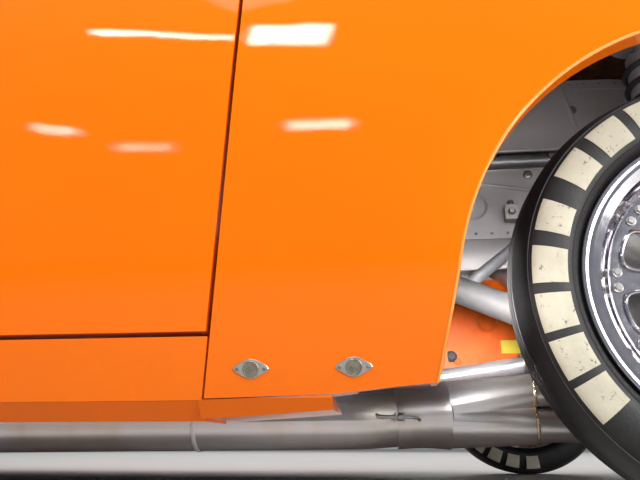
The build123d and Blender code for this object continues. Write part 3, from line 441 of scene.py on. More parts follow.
# ---------------------------------------------------------------- front tyres with raised white blocks
def front_tyre(side, body, name):
    s = -1 if side == "right" else 1
    c = (XF, s * FY, FR)
    out = (0, s, 0)
    half = [(0.2000, 0.030), (0.2070, 0.0375), (0.2112, 0.0405), (0.2140, 0.0445), (0.2160, 0.0500), (0.2200, 0.0548), (0.2225, 0.0566), (0.2240, 0.0562), (0.2290, 0.0590), (0.2380, 0.0610),
            (0.2500, 0.0620), (0.2620, 0.0615), (0.2720, 0.0592), (0.2766, 0.0566), (0.2788, 0.0548), (0.2798, 0.0552), (0.2810, 0.0536), (0.2840, 0.0490), (0.2868, 0.0434), (0.2892, 0.0372), (0.2910, 0.0312), (0.2922, 0.0262)]
    lane = [(0.2929, 0.0215)]
    for g in (0.0140, 0.0000, -0.0120):
        lane += [(0.2930, g + 0.0016), (0.2905, g + 0.0010), (0.2905, g - 0.0010), (0.2930, g - 0.0016)]
    lane += [(0.2929, -0.0180)]
    prof = half + lane + [(r, -h * (1.0 if r < 0.22 else max(0.82, 1.0 - (r - 0.22) * 3.0))) for r, h in reversed(half)]
    b = Batch()
    revolve(b, c, out, prof, n=160, closed=True)
    tyre = b.obj(name, "tyre_rubber", body, replaces=(f"front_tyre_{side}",))
    # raised white blocks: two groups on the outer side wall, one on the inner
    wb = Batch()

    def wall(r):
        pts = sorted(half)
        for (r0, h0), (r1, h1) in zip(pts, pts[1:]):
            if r0 <= r <= r1:
                return h0 + (h1 - h0) * (r - r0) / max(1e-9, r1 - r0)
        return pts[-1][1]

    def block(mid, width, r0, r1, face=1):
        nr, na = 12, 6
        way = Vector(out) * face
        top, bot = [], []
        for i in range(nr + 1):
            r = r0 + (r1 - r0) * i / nr
            for j in range(na + 1):
                tt = math.radians(mid + width * (j / na - 0.5))
                d = Vector((math.cos(tt), 0, math.sin(tt)))
                edge = i in (0, nr) or j in (0, na)
                h = wall(r) + (0.0008 if edge else 0.0014)
                top.append(Vector(c) + d * r + way * h)
                bot.append(Vector(c) + d * r + way * (wall(r) - 0.002))
        k = (nr + 1) * (na + 1)
        f = []
        for i in range(nr):
            for j in range(na):
                q = (i * (na + 1) + j, i * (na + 1) + j + 1, (i + 1) * (na + 1) + j + 1, (i + 1) * (na + 1) + j)
                f.append(q)
                f.append(tuple(k + z for z in reversed(q)))
        rim = [j for j in range(na + 1)] + [i * (na + 1) + na for i in range(1, nr + 1)] + [nr * (na + 1) + j for j in range(na - 1, -1, -1)] + [i * (na + 1) for i in range(nr - 1, 0, -1)]
        for p, q in zip(rim, rim[1:] + rim[:1]):
            f.append((p, q, k + q, k + p))
        wb.add(top + bot, f)

    for mid, width in WHITE_BLOCKS:
        block(mid, width, 0.2303, 0.2746)
    for mid in (272.5, 257.7, 244.0, 230.6, 217.2, 92.5, 77.7, 64.0, 50.6, 37.2):
        block(mid, 9.4, 0.2330, 0.2740, -1)
    wb.obj(name + "_white_blocks", "tyre_white", body, slot="tyre_rubber")
    return tyre


WHITE_BLOCKS = [(214.0, 10.4), (201.3, 10.6), (188.3, 10.6), (174.6, 10.8), (159.8, 9.6), (141.9, 10.8), (126.7, 11.0), (112.4, 10.8), (98.6, 10.8), (56.0, 10.8), (42.0, 10.8), (28.0, 10.8), (14.0, 10.8), (0.0, 10.8), (-16.0, 10.8), (-32.0, 10.8), (-47.0, 10.8)]
front_tyre("right", "wheel_front_right", "front_tyre_detailed_right")
front_tyre("left", "wheel_front_left", "front_tyre_detailed_left")


def rear_tyre(side, body):
    s = -1 if side == "right" else 1
    c = (XR, s * 0.665, RR)
    half = [(0.2000, 0.116), (0.2080, 0.1235), (0.2160, 0.1265), (0.2260, 0.1450), (0.2420, 0.1560), (0.2620, 0.1630), (0.3000, 0.1650), (0.3300, 0.1645), (0.3500, 0.1630), (0.3520, 0.1640), (0.3560, 0.1638), (0.3575, 0.1618), (0.3780, 0.1575), (0.3900, 0.1520), (0.3955, 0.1420), (0.3985, 0.1300)]
    lane = [(0.3995, 0.1200)]
    for g in (0.075, 0.0, -0.075):
        lane += [(0.4000, g + 0.003), (0.3972, g + 0.002), (0.3972, g - 0.002), (0.4000, g - 0.003)]
    lane += [(0.3995, -0.1200)]
    b = Batch()
    revolve(b, c, (0, s, 0), half + lane + [(r, -h) for r, h in reversed(half)], n=144, closed=True)
    b.obj(f"rear_slick_detailed_{side}", "tyre_rubber", body, replaces=(f"rear_tyre_{side}",))


rear_tyre("right", "wheel_rear_right")
rear_tyre("left", "wheel_rear_left")


# ---------------------------------------------------------------- wheel trim: steps, window lips, bolts, nuts, cap
def wheel_trim(side, body, cx, cy, cz, lip_h, face_h, name):
    """lip_h: distance of the outer lip outboard of the wheel's middle plane; face_h: that of the centre web's face."""
    s = -1 if side == "right" else 1
    c = Vector((cx, cy, cz))
    out = Vector((0, s, 0))
    b = Batch()
    # stepped outer half: from the rolled lip in to the web
    d = lip_h - face_h
    steps = [(0.2090, 0.0), (0.2094, 0.0014), (0.2086, 0.0030), (0.2060, 0.0034), (0.1990, 0.0010), (0.1975, -0.0005), (0.1950, -0.12 * d), (0.1920, -0.30 * d), (0.1890, -0.42 * d), (0.1860, -0.45 * d), (0.1846, -0.47 * d),
             (0.1838, -0.60 * d), (0.1822, -0.66 * d), (0.1780, -0.70 * d), (0.1752, -0.72 * d), (0.1744, -0.84 * d), (0.1728, -0.90 * d), (0.1690, -0.93 * d), (0.1672, -0.94 * d), (0.1664, -0.985 * d), (0.1640, -0.99 * d)]
    prof = [(r, lip_h + h) for r, h in steps]
    back = [(0.1640, face_h - 0.004), (0.1700, face_h - 0.006), (0.2000, lip_h - 0.012), (0.2060, lip_h - 0.004)]
    revolve(b, c, out, prof + back, n=160, closed=True)
    b.obj(name + "_steps", "spun_aluminium", body, sharp=28.0)
    # window lips
    lips, web = Batch(), Batch()
    for i in range(10):
        a = math.radians(36 * i + 14)
        er = Vector((math.cos(a), 0, math.sin(a)))
        et = Vector((-math.sin(a), 0, math.cos(a)))
        half, w0, w1, mid = 0.029, 0.014, 0.032, 0.121
        pts = []
        corner = 0.009
        outline = [(-half, -w0), (half, -w1), (half + 0.005, 0), (half, w1), (-half, w0), (-half - 0.006, 0)]
        for k in range(64):
            t = 2 * math.pi * k / 64
            q = 0.78
            x = math.copysign(abs(math.cos(t)) ** q, math.cos(t)) * (half + 0.004)
            ww = w0 + (w1 - w0) * (x + half) / (2 * half) + 0.001
            y = math.copysign(abs(math.sin(t)) ** q, math.sin(t)) * ww
            pts.append(c + er * (mid + x) + et * y + out * (face_h + 0.0004))
        wire(lips, pts, 0.0026, n=8, close=True)
    lips.obj(name + "_window_lips", "spun_aluminium", body)
    bolts = Batch()
    for i in range(20):
        a = math.radians(36 * (i // 2) + 14 + (-14.2 if i % 2 else 14.2))
        p = c + Vector((math.cos(a), 0, math.sin(a))) * 0.1572 + out * (face_h + 0.0005)
        bolt(bolts, p, out, 0.0052, up=(math.cos(a), 0, math.sin(a)))
    for i in range(5):
        a = math.radians(72 * i + 90)
        p = c + Vector((math.cos(a), 0, math.sin(a))) * 0.0395 + out * (face_h + 0.016)
        prism(bolts, p, out, (0, 0, 1), hexagon(0.0105), 0.018, inset=0.12, bevel_h=0.003)
        disc(bolts, p + out * 0.017, out, 0.006, 0.004, n=16, dome=0.002)
    bolts.obj(name + "_bolts", "bolt_steel", body, slot="spun_aluminium")
    cap = Batch()
    # a thin cup, so that the stub axle's end stands inside it without touching
    revolve(cap, c, out, [(1e-5, face_h + 0.046), (0.010, face_h + 0.0455), (0.022, face_h + 0.043), (0.0262, face_h + 0.039), (0.0275, face_h + 0.030), (0.0275, face_h + 0.010), (0.0240, face_h + 0.010), (0.0240, face_h + 0.0398), (0.0215, face_h + 0.0424), (1e-5, face_h + 0.0430)], n=48)
    revolve(cap, c, out, [(0.052, face_h + 0.0165), (0.056, face_h + 0.0160), (0.0585, face_h + 0.0125), (0.0600, face_h + 0.004), (0.0500, face_h + 0.004)], n=64, closed=True)
    cap.obj(name + "_cap", "spun_aluminium", body)


wheel_trim("right", "wheel_front_right", XF, -FY, FR, 0.0445, 0.0195, "front_right_rim")
wheel_trim("left", "wheel_front_left", XF, FY, FR, 0.0445, 0.0195, "front_left_rim")
wheel_trim("right", "wheel_rear_right", XR, -0.665, RR, 0.1325, 0.0085, "rear_right_rim")
wheel_trim("left", "wheel_rear_left", XR, 0.665, RR, 0.1325, 0.0085, "rear_left_rim")

# ---------------------------------------------------------------- points on the CAD surfaces
def hit(node, origin, direction, reach=3.0):
    ok, loc, nor, _ = NODES[node].ray_cast(Vector(origin), Vector(direction).normalized(), distance=reach)
    if not ok:
        return None, None
    d = Vector(direction).normalized()
    return loc, (nor if nor.dot(d) < 0 else -nor)


def on_side(node, x, z, s=-1):
    """The outer surface of a side panel at (x, z), looked at from outside."""
    return hit(node, (x, s * 1.4, z), (0, -s, 0))


def arc_points(p, m, q, count):
    """Points on the arc from p through m to q, without the last."""
    ax, ay, bx, by, cx, cy = *p, *m, *q
    d = 2 * (ax * (by - cy) + bx * (cy - ay) + cx * (ay - by))
    ux = ((ax * ax + ay * ay) * (by - cy) + (bx * bx + by * by) * (cy - ay) + (cx * cx + cy * cy) * (ay - by)) / d
    uy = ((ax * ax + ay * ay) * (cx - bx) + (bx * bx + by * by) * (ax - cx) + (cx * cx + cy * cy) * (bx - ax)) / d
    r = math.hypot(ax - ux, ay - uy)
    t0, t1 = math.atan2(ay - uy, ax - ux), math.atan2(cy - uy, cx - ux)
    while t1 > t0:
        t1 -= 2 * math.pi
    return [(ux + r * math.cos(t0 + (t1 - t0) * k / count), uy + r * math.sin(t0 + (t1 - t0) * k / count)) for k in range(count)]


def arch_line():
    """The front arch in the side view, millimetres from its middle, rear foot to front foot."""
    up = [(-428 + 44 * k / 20, 100 + 185 * k / 20) for k in range(20)]
    down = [(372 + 20 * k / 14, 300 - 240 * k / 14) for k in range(15)]
    run = up + arc_points((-384, 285), (-308, 466), (-150, 582), 40) + arc_points((-150, 582), (0, 607), (150, 582), 26) + arc_points((150, 582), (302, 472), (372, 300), 36) + down
    for _ in range(6):
        run = [run[0]] + [((a[0] + 2 * b[0] + c[0]) / 4, (a[1] + 2 * b[1] + c[1]) / 4) for a, b, c in zip(run, run[1:], run[2:])] + [run[-1]]
    return [p for p in run if p[1] > 157]


for s, side in ((-1, "right"), (1, "left")):
    fender = f"front_fender_{side}"
    # quarter-turn fasteners through the fender's lower rear corner: a diamond plate, two rivets and a slotted head
    plates, heads = Batch(), Batch()
    for x, z in ((0.783, 0.182), (0.905, 0.183)):
        p, n = on_side(fender, x, z, s)
        if p is None:
            continue
        n = n.normalized()
        up = Vector((0, 0, 1))
        outline = [(-0.022, 0), (-0.020, 0.0032), (-0.006, 0.0108), (0.0, 0.0118), (0.006, 0.0108), (0.020, 0.0032), (0.022, 0), (0.020, -0.0032), (0.006, -0.0108), (0.0, -0.0118), (-0.006, -0.0108), (-0.020, -0.0032)]
        prism(plates, p - n * 0.0004, n, up, outline, 0.0018, inset=0.05, bevel_h=0.0007)
        tang = up.cross(n).normalized()
        for k in (-1, 1):
            disc(heads, p + tang * (k * 0.0165) + n * 0.0012, n, 0.0022, 0.0008, n=14, dome=0.0010)
        revolve(heads, p + n * 0.0012, n, [(0.0098, 0.0), (0.0098, 0.0010), (0.0090, 0.0016), (0.0084, 0.0016), (0.0080, 0.0011), (0.0040, 0.0013), (1e-5, 0.0014)], n=36)
        prism(heads, p + n * 0.0024, n, up + tang * 0.4, [(-0.0068, -0.0009), (0.0068, -0.0009), (0.0068, 0.0009), (-0.0068, 0.0009)], 0.0010, inset=0.1, bevel_h=0.0004)
    plates.obj(f"fastener_plates_{side}", "bolt_steel", "car", slot="bright_chrome")
    heads.obj(f"fastener_heads_{side}", "zinc_head", "car", sharp=25, slot="bright_chrome")

    # rolled lip round the front arch, on the arch's own line of arcs; it is coloured a brighter, yellower orange than
    # the body paint, a painted highlight
    lip = Batch()
    fine = []
    line = arch_line()
    for i, (dx, z) in enumerate(line):
        a, b2 = line[max(0, i - 1)], line[min(len(line) - 1, i + 1)]
        t = Vector((b2[0] - a[0], 0, b2[1] - a[1])).normalized()
        nrm = Vector((-t.z, 0, t.x))
        q = Vector((ARCH_X + dx / 1000, 0, z / 1000)) + nrm * 0.0030
        p, n = on_side(fender, q.x, q.z, s)
        if p is not None:
            fine.append(p - n * 0.0010 - nrm * 0.0022)
    wire(lip, fine, 0.0023, n=12)
    lip.obj(f"front_arch_lip_{side}", "lip_painted_highlight", "car", sharp=60, slot="orange_paint")

    # exhaust: weld rings, slip joint, locating tab, collector weld bead, flange bolts
    def Y(v):
        return -s * v

    welds, joint, tabs, rings = Batch(), Batch(), Batch(), Batch()

    def ring_at(batch, x, y, z, axis, r, w, h):
        prof = [(r - 0.001, -w), (r + h * 0.7, -w * 0.6), (r + h, 0.0), (r + h * 0.7, w * 0.6), (r - 0.001, w)]
        revolve(batch, (x, Y(y), z), (axis[0], Y(axis[1]), axis[2]), prof, n=64, closed=True)

    for x, z in ((0.623, 0.1316), (0.205, 0.1280), (-0.250, 0.1238)):
        ring_at(rings, x, -0.540, z, (1, 0, 0.0087), 0.0445, 0.0046, 0.0016)
    # fish-scale bead where the four primaries enter the collector
    mouths = ((-0.473, 0.126), (-0.473, 0.180), (-0.527, 0.126), (-0.527, 0.180))
    for ym, zm in mouths:
        for k in range(64):
            t = 2 * math.pi * k / 64
            yy, zz = ym + 0.0300 * math.cos(t), zm + 0.0300 * math.sin(t)
            if any(math.hypot(yy - y2, zz - z2) < 0.0288 for y2, z2 in mouths if (y2, z2) != (ym, zm)):
                continue
            disc(welds, (1.1762, Y(yy), zz), (0.35, Y(math.cos(t)), math.sin(t)), 0.0030, 0.0008, n=10, dome=0.0012)
    # formed cone from the slip joint to the collector, and the spring clip over the joint
    c0 = Vector((0.951, Y(-0.5266), 0.1387))
    d = (Vector((1.036, Y(-0.517), 0.144)) - c0).normalized()
    revolve(joint, c0, d, [(0.0446, 0.0), (0.0486, 0.0), (0.0491, 0.0015), (0.0493, 0.030), (0.0500, 0.045), (0.0516, 0.062), (0.0540, 0.078), (0.0552, 0.0860), (0.0530, 0.0885), (0.0446, 0.0885)], n=96, closed=True)
    for x in (0.9510, 0.9640):
        box_mesh(tabs, (x, min(Y(-0.5740), Y(-0.5905)), 0.1315), (x + 0.0030, max(Y(-0.5740), Y(-0.5905)), 0.1455))
    wire(tabs, [(0.9215, Y(-0.5780), 0.1430), (0.9270, Y(-0.5850), 0.1400), (0.9400, Y(-0.5868), 0.1390), (0.9590, Y(-0.5868), 0.1385), (0.9760, Y(-0.5855), 0.1380), (0.9870, Y(-0.5830), 0.1365), (0.9905, Y(-0.5760), 0.1340)], 0.0025, n=10)
    revolve(tabs, (0.9555, Y(-0.5868), 0.1385), (1, 0, 0), [(0.0026, 0.0), (0.0062, 0.0005), (0.0066, 0.0040), (0.0062, 0.0080), (0.0026, 0.0085)], n=20, closed=True)
    for x in (1.0425, 1.0985, 1.152, 1.208, 1.262, 1.318, 1.372, 1.428):
        bolt(tabs, (x, Y(-0.270), 0.470 + (0.020 if int(x * 1000) % 2 else -0.020)), (0, Y(-1), 0), 0.0052)
    welds.obj(f"exhaust_welds_{side}", "weld", "car", slot="stainless")
    joint.obj(f"slip_joint_{side}", "stainless", "car")
    rings.obj(f"pipe_rings_{side}", "sheet_aluminium", "car", slot="stainless")
    tabs.obj(f"exhaust_hardware_{side}", "bolt_steel", "car", slot="stainless")

    # inner panel: beads, flange strip, rivets, quarter-turn studs, ring in the lightening hole
    pan, riv = Batch(), Batch()
    yo = Y(-0.4442)
    for p0, p1, r in (((1.080, 0.600), (1.236, 0.572), 0.0040), ((1.318, 0.800), (1.340, 0.684), 0.0045), ((1.55, 0.770), (1.56, 0.684), 0.0045), ((0.90, 0.80), (0.93, 0.49), 0.0045)):
        wire(pan, [(p0[0], yo, p0[1]), ((p0[0] + p1[0]) / 2, yo, (p0[1] + p1[1]) / 2), (p1[0], yo, p1[1])], r, n=10)
    # folded edges of the slot round the upper rail
    for z0 in (0.6182, 0.6598):
        wire(pan, [(1.122, yo, z0), (1.22, yo, z0), (1.318, yo, z0)], 0.0022, n=8)
    def top_edge(x):
        return 0.832 - (x - 0.776) * (0.020 / 0.638) if x < 1.414 else 0.812 - (x - 1.414) * (0.068 / 0.576)
    # doubler strip along the top edge, ahead of the seam
    strip = [(1.345, top_edge(1.345) - 0.022), (1.345, top_edge(1.345) - 0.001), (1.414, top_edge(1.414) - 0.001), (1.985, top_edge(1.985) - 0.001), (1.985, top_edge(1.985) - 0.022), (1.414, top_edge(1.414) - 0.022)]
    n_s = len(strip)
    pan.add([Vector((x, yo, z)) for x, z in strip] + [Vector((x, yo + Y(-0.0016), z)) for x, z in strip], [tuple(reversed(range(n_s))), tuple(range(n_s, 2 * n_s))] + [(k, (k + 1) % n_s, n_s + (k + 1) % n_s, n_s + k) for k in range(n_s)])
    for i in range(40):
        x = 0.79 + i * 0.0302
        off = yo + (Y(-0.0016) if x > 1.345 else 0)
        disc(riv, (x, off, top_edge(x) - 0.011), (0, Y(-1), 0), 0.0030, 0.0008, n=12, dome=0.0010)
        if x > 1.34:
            disc(riv, (x, yo, 0.688), (0, Y(-1), 0), 0.0030, 0.0008, n=12, dome=0.0010)
        elif x > 0.80:
            disc(riv, (x, yo, 0.486), (0, Y(-1), 0), 0.0030, 0.0008, n=12, dome=0.0010)
    for x, z in ((1.232, 0.606), (1.334, 0.745), (0.86, 0.56), (1.02, 0.56), (1.75, 0.72)):
        disc(riv, (x, yo, z), (0, Y(-1), 0), 0.0090, 0.0018, n=28, dome=0.0008)
        prism(riv, (x, yo + Y(-1) * 0.0024, z), (0, Y(-1), 0), (0.3, 0, 1), [(-0.0062, -0.001), (0.0062, -0.001), (0.0062, 0.001), (-0.0062, 0.001)], 0.0010)
    # small valve block bolted to the panel
    box_mesh(riv, (1.178, min(yo, yo + Y(-0.018)), 0.508), (1.202, max(yo, yo + Y(-0.018)), 0.538))
    bolt(riv, (1.190, yo + Y(-0.018), 0.523), (0, Y(-1), 0), 0.0060)
    disc(riv, (1.190, yo + Y(-0.010), 0.538), (0, 0, 1), 0.006, 0.010, n=16)
    # plug plate over the lightening hole with a pressed ring, and sheets behind the slot and under the lower edge
    disc(pan, (1.122, yo, 0.540), (0, Y(-1), 0), 0.0400, 0.0007, n=64)
    revolve(pan, (1.120, yo + Y(-0.0006), 0.543), (0, Y(-1), 0), [(0.0235, -0.0004), (0.0245, 0.0018), (0.0262, 0.0026), (0.0280, 0.0018), (0.0290, -0.0004)], n=64, closed=True)
    yb = Y(-0.3905)
    box_mesh(pan, (1.100, min(yb, yb + Y(0.0015)), 0.600), (1.340, max(yb, yb + Y(0.0015)), 0.700))
    box_mesh(pan, (1.083, min(yb, yb + Y(0.0015)), 0.430), (1.245, max(yb, yb + Y(0.0015)), 0.510))
    wire(pan, [(1.084, yb, 0.4305), (1.16, yb, 0.4305), (1.244, yb, 0.4305)], 0.0022, n=8)
    pan.obj(f"panel_beads_{side}", "sheet_aluminium", "car")
    riv.obj(f"panel_rivets_{side}", "bolt_steel", "car", slot="sheet_aluminium")

    # chassis: bolts on the upper rail, clamp collars
    ch = Batch()
    bolt(ch, (1.287, Y(-0.4255), 0.652), (0, Y(-1), 0), 0.0085)
    bolt(ch, (1.60, Y(-0.4255), 0.643), (0, Y(-1), 0), 0.0085)
    bolt(ch, (0.98, Y(-0.4255), 0.657), (0, Y(-1), 0), 0.0085)
    for x, z in ((1.00, 0.211), (1.20, 0.239), (1.70, 0.286)):
        revolve(ch, (x, Y(-0.410), z), (1, 0, 0.14), [(0.0162, -0.012), (0.0192, -0.012), (0.0196, -0.009), (0.0196, 0.009), (0.0192, 0.012), (0.0162, 0.012)], n=36, closed=True)
        bolt(ch, (x, Y(-0.4295), z), (0, Y(-1), 0), 0.0055)
    ch.obj(f"chassis_bolts_{side}", "bolt_steel", "car", slot="chassis_paint")

    # front spring coils and strut gland
    sp = Batch()
    coil = []
    for k in range(8 * 24 + 1):
        t = 2 * math.pi * k / 24
        coil.append((XF + 0.0380 * math.cos(t), Y(-0.632) + 0.0380 * math.sin(t), 0.478 + 0.240 * k / (8 * 24)))
    wire(sp, coil, 0.0052, n=8)
    # the coils take the near-black trim colour so that they read as shade in the wheel well: painted shade
    sp.obj(f"front_spring_{side}", "black_trim", f"steer_{side}")
    nut = Batch()
    for k in range(5):
        revolve(nut, (XF, Y(-0.632), 0.470 - 0.012 * k), (0, 0, 1), [(0.0252, 0.0), (0.0285, 0.001), (0.0285, 0.007), (0.0252, 0.008)], n=36, closed=True)
    bolt(nut, (XF, Y(-0.672), 0.235), (0, Y(-1), 0), 0.010)
    bolt(nut, (XF, Y(-0.672), 0.350), (0, Y(-1), 0), 0.010)
    nut.obj(f"strut_collars_{side}", "bolt_steel", f"steer_{side}", slot="chassis_paint")

    # engine side: plugs, pan rail bolts, casting ribs, blank label, valve cover ribs
    en, eb = Batch(), Batch()
    for x in (1.02, 1.30, 1.42):
        revolve(eb, (x, Y(-0.235), 0.351), (0, Y(-1), 0), [(1e-5, 0.001), (0.016, 0.001), (0.0175, 0.003), (0.0205, 0.003), (0.0215, 0.0)], n=36)
    revolve(eb, (1.160, Y(-0.247), 0.351), (0, Y(-1), 0), [(1e-5, 0.0005), (0.014, 0.0008), (0.0158, 0.0030), (0.0195, 0.0030), (0.0208, 0.0)], n=36)
    box_mesh(en, (1.1735, min(Y(-0.2345), Y(-0.2430)), 0.250), (1.1795, max(Y(-0.2345), Y(-0.2430)), 0.412))
    box_mesh(en, (1.0650, min(Y(-0.2345), Y(-0.2430)), 0.250), (1.0710, max(Y(-0.2345), Y(-0.2430)), 0.412))
    box_mesh(en, (0.968, min(Y(-0.2345), Y(-0.2440)), 0.402), (1.478, max(Y(-0.2345), Y(-0.2440)), 0.410))
    box_mesh(en, (0.968, min(Y(-0.2345), Y(-0.2450)), 0.248), (1.478, max(Y(-0.2345), Y(-0.2450)), 0.256))
    for i in range(10):
        bolt(eb, (0.99 + 0.051 * i, Y(-0.2352), 0.2665), (0, Y(-1), 0), 0.0062)
    mb = Batch()
    bolt(mb, (1.079, Y(-0.2352), 0.278), (0, Y(-1), 0), 0.0100)
    mb.obj(f"mount_bolt_{side}", "black_trim", "car", slot="cast_case")
    en.obj(f"block_ribs_{side}", "engine_paint", "car")
    eb.obj(f"block_bolts_{side}", "engine_paint", "car")
    if s < 0:
        lab = Batch()
        box_mesh(lab, (1.186, -0.2368, 0.283), (1.228, -0.2349, 0.311))
        lab.obj("blank_label", "sticker", "car", slot="engine_paint")
    vc = Batch()
    for i in range(9):
        x = 0.995 + 0.056 * i
        n_ = Vector((0, Y(-0.80), 0.54)).normalized()
        p = Vector((x, Y(-0.213), 0.600))
        prism(vc, p - n_ * 0.002, n_, (1, 0, 0), [(-0.034, -0.004), (0.034, -0.004), (0.034, 0.004), (-0.034, 0.004)], 0.008, inset=0.15, bevel_h=0.003)
    vc.obj(f"valve_cover_ribs_{side}", "cast_case", "car")

    # doors: handle, lock
    dn = f"door_{side}"
    hd = Batch()
    p, n = on_side(dn, -0.395, 0.735, s)
    if p is not None:
        n = n.normalized()
        prism(hd, p - n * 0.0005, n, (0, 0, 1), [(-0.052, -0.013), (0.052, -0.013), (0.055, 0.0), (0.052, 0.013), (-0.052, 0.013), (-0.055, 0.0)], 0.004, inset=0.05, bevel_h=0.0015)
        wire(hd, [p + Vector((-0.046, 0, 0)) + n * 0.002, p + Vector((-0.042, 0, 0)) + n * 0.016, p + Vector((-0.030, 0, 0)) + n * 0.021, p + Vector((0.030, 0, 0)) + n * 0.021, p + Vector((0.042, 0, 0)) + n * 0.016, p + Vector((0.046, 0, 0)) + n * 0.002], 0.0050, n=12)
        disc(hd, p + Vector((-0.075, 0, -0.004)) , n, 0.010, 0.003, n=24, dome=0.001)
        hd.obj(f"door_handle_{side}", "bright_chrome", f"door_{side}_leaf")

    # inner door: pull strap, armrest pad
    di = Batch()
    yi = Y(-0.7675)
    box_mesh(di, (-0.38, min(yi, yi + Y(0.030)), 0.500), (0.30, max(yi, yi + Y(0.030)), 0.545))
    box_mesh(di, (-0.46, min(yi, yi + Y(0.006)), 0.300), (0.66, max(yi, yi + Y(0.006)), 0.470))
    di.obj(f"door_inner_trim_{side}", "black_trim", f"door_{side}_leaf", bevel=0.003)

# ---------------------------------------------------------------- nose and tail trim
lamp = Batch()
bez = Batch()
for y, z in ((-0.668, 0.572), (-0.528, 0.572), (0.528, 0.572), (0.668, 0.572)):
    revolve(bez, (2.218, y, z), (1, 0, 0), [(0.0602, -0.012), (0.0665, -0.012), (0.0665, 0.001), (0.0640, 0.004), (0.0602, 0.003)], n=64, closed=True)
    revolve(lamp, (2.2185, y, z), (1, 0, 0), [(0.0598, -0.001), (0.0590, 0.003), (0.050, 0.0075), (0.034, 0.0108), (0.017, 0.0125), (1e-5, 0.0130)], n=64)
    for k in range(-4, 5):
        h = math.sqrt(max(0.0, 0.052 ** 2 - (k * 0.011) ** 2))
        wire(lamp, [(2.2285 - (k * 0.011) ** 2 * 1.8 - (t * h) ** 2 * 1.8, y + k * 0.011, z + t * h) for t in (-0.95, -0.5, 0, 0.5, 0.95)], 0.0010, n=6)
bez.obj("headlamp_bezels", "bright_chrome", "car")
lamp.obj("headlamp_lenses", "lamp_glass", "car")
gr = Batch()
for i in range(44):
    y = -0.440 + i * 0.0205
    box_mesh(gr, (2.2085, y - 0.0014, 0.510), (2.2125, y + 0.0014, 0.635))
gr.obj("grille_fins", "black_trim", "car")
tl = Batch()
for y0, y1 in ((-0.650, -0.350), (0.350, 0.650)):
    for i in range(13):
        y = y0 + 0.014 + i * 0.0227
        p, n = hit("tail_lamps", (-2.6, y, 0.635), (1, 0, 0))
        if p is not None:
            box_mesh(tl, (p.x - 0.0035, y - 0.0035, 0.597), (p.x + 0.002, y + 0.0035, 0.673))
tl.obj("tail_lamp_ribs", "red_lens", "car", slot="red_lens")
tb = Batch()
for y0, y1 in ((-0.650, -0.350), (0.350, 0.650)):
    ring_pts = []
    for k in range(81):
        t = k / 80
        if t < 0.375:
            y, z = y0 + (y1 - y0) * t / 0.375, 0.590
        elif t < 0.5:
            y, z = y1, 0.590 + 0.090 * (t - 0.375) / 0.125
        elif t < 0.875:
            y, z = y1 + (y0 - y1) * (t - 0.5) / 0.375, 0.680
        else:
            y, z = y0, 0.680 - 0.090 * (t - 0.875) / 0.125
        ys = min(max(y, y0 + 0.006), y1 - 0.006)
        p, n = hit("tail_lamps", (-2.6, ys, min(max(z, 0.597), 0.673)), (1, 0, 0))
        ring_pts.append((p.x - 0.001, y, z))
    wire(tb, ring_pts[:-1], 0.0036, n=8, close=True)
tb.obj("tail_lamp_bezels", "bright_chrome", "car")

# hood pins
hp = Batch()
for y in (-0.58, 0.58):
    p, n = hit("hood", (2.05, y, 1.4), (0, 0, -1))
    if p is not None:
        disc(hp, p - n * 0.0004, n, 0.024, 0.0016, n=36)
        cylinder(hp, p, p + n * 0.018, 0.0052, n=14)
        wire(hp, [p + n * 0.012 + Vector((-0.020, 0, 0)), p + n * 0.012 + Vector((0.018, 0, 0)), p + n * 0.012 + Vector((0.026, 0.006, 0)), p + n * 0.012 + Vector((0.018, 0.012, 0)), p + n * 0.012 + Vector((-0.012, 0.010, 0))], 0.0016, n=8)
hp.obj("hood_pins", "bolt_steel", "hood_leaf", slot="bright_chrome")

# wipers lying on the windshield's lower edge
wp = Batch()
for y, k in ((-0.36, -1), (0.22, -1)):
    pts = []
    for i in range(9):
        yy = y + (0.44 if k < 0 else -0.44) * i / 8
        p, n = hit("windshield", (2.0, yy, 0.905 + 0.010 * i / 8), (-1, 0, 0))
        if p is not None:
            pts.append(p + n * 0.006)
    if len(pts) > 3:
        wire(wp, pts, 0.0035, n=8)
        q = pts[4]
        wire(wp, [q + Vector((0.002, 0, 0.004)), q + Vector((0.030, -0.10, -0.022)), q + Vector((0.052, -0.19, -0.040))], 0.0042, n=8)
wp.obj("wipers", "black_trim", "car")
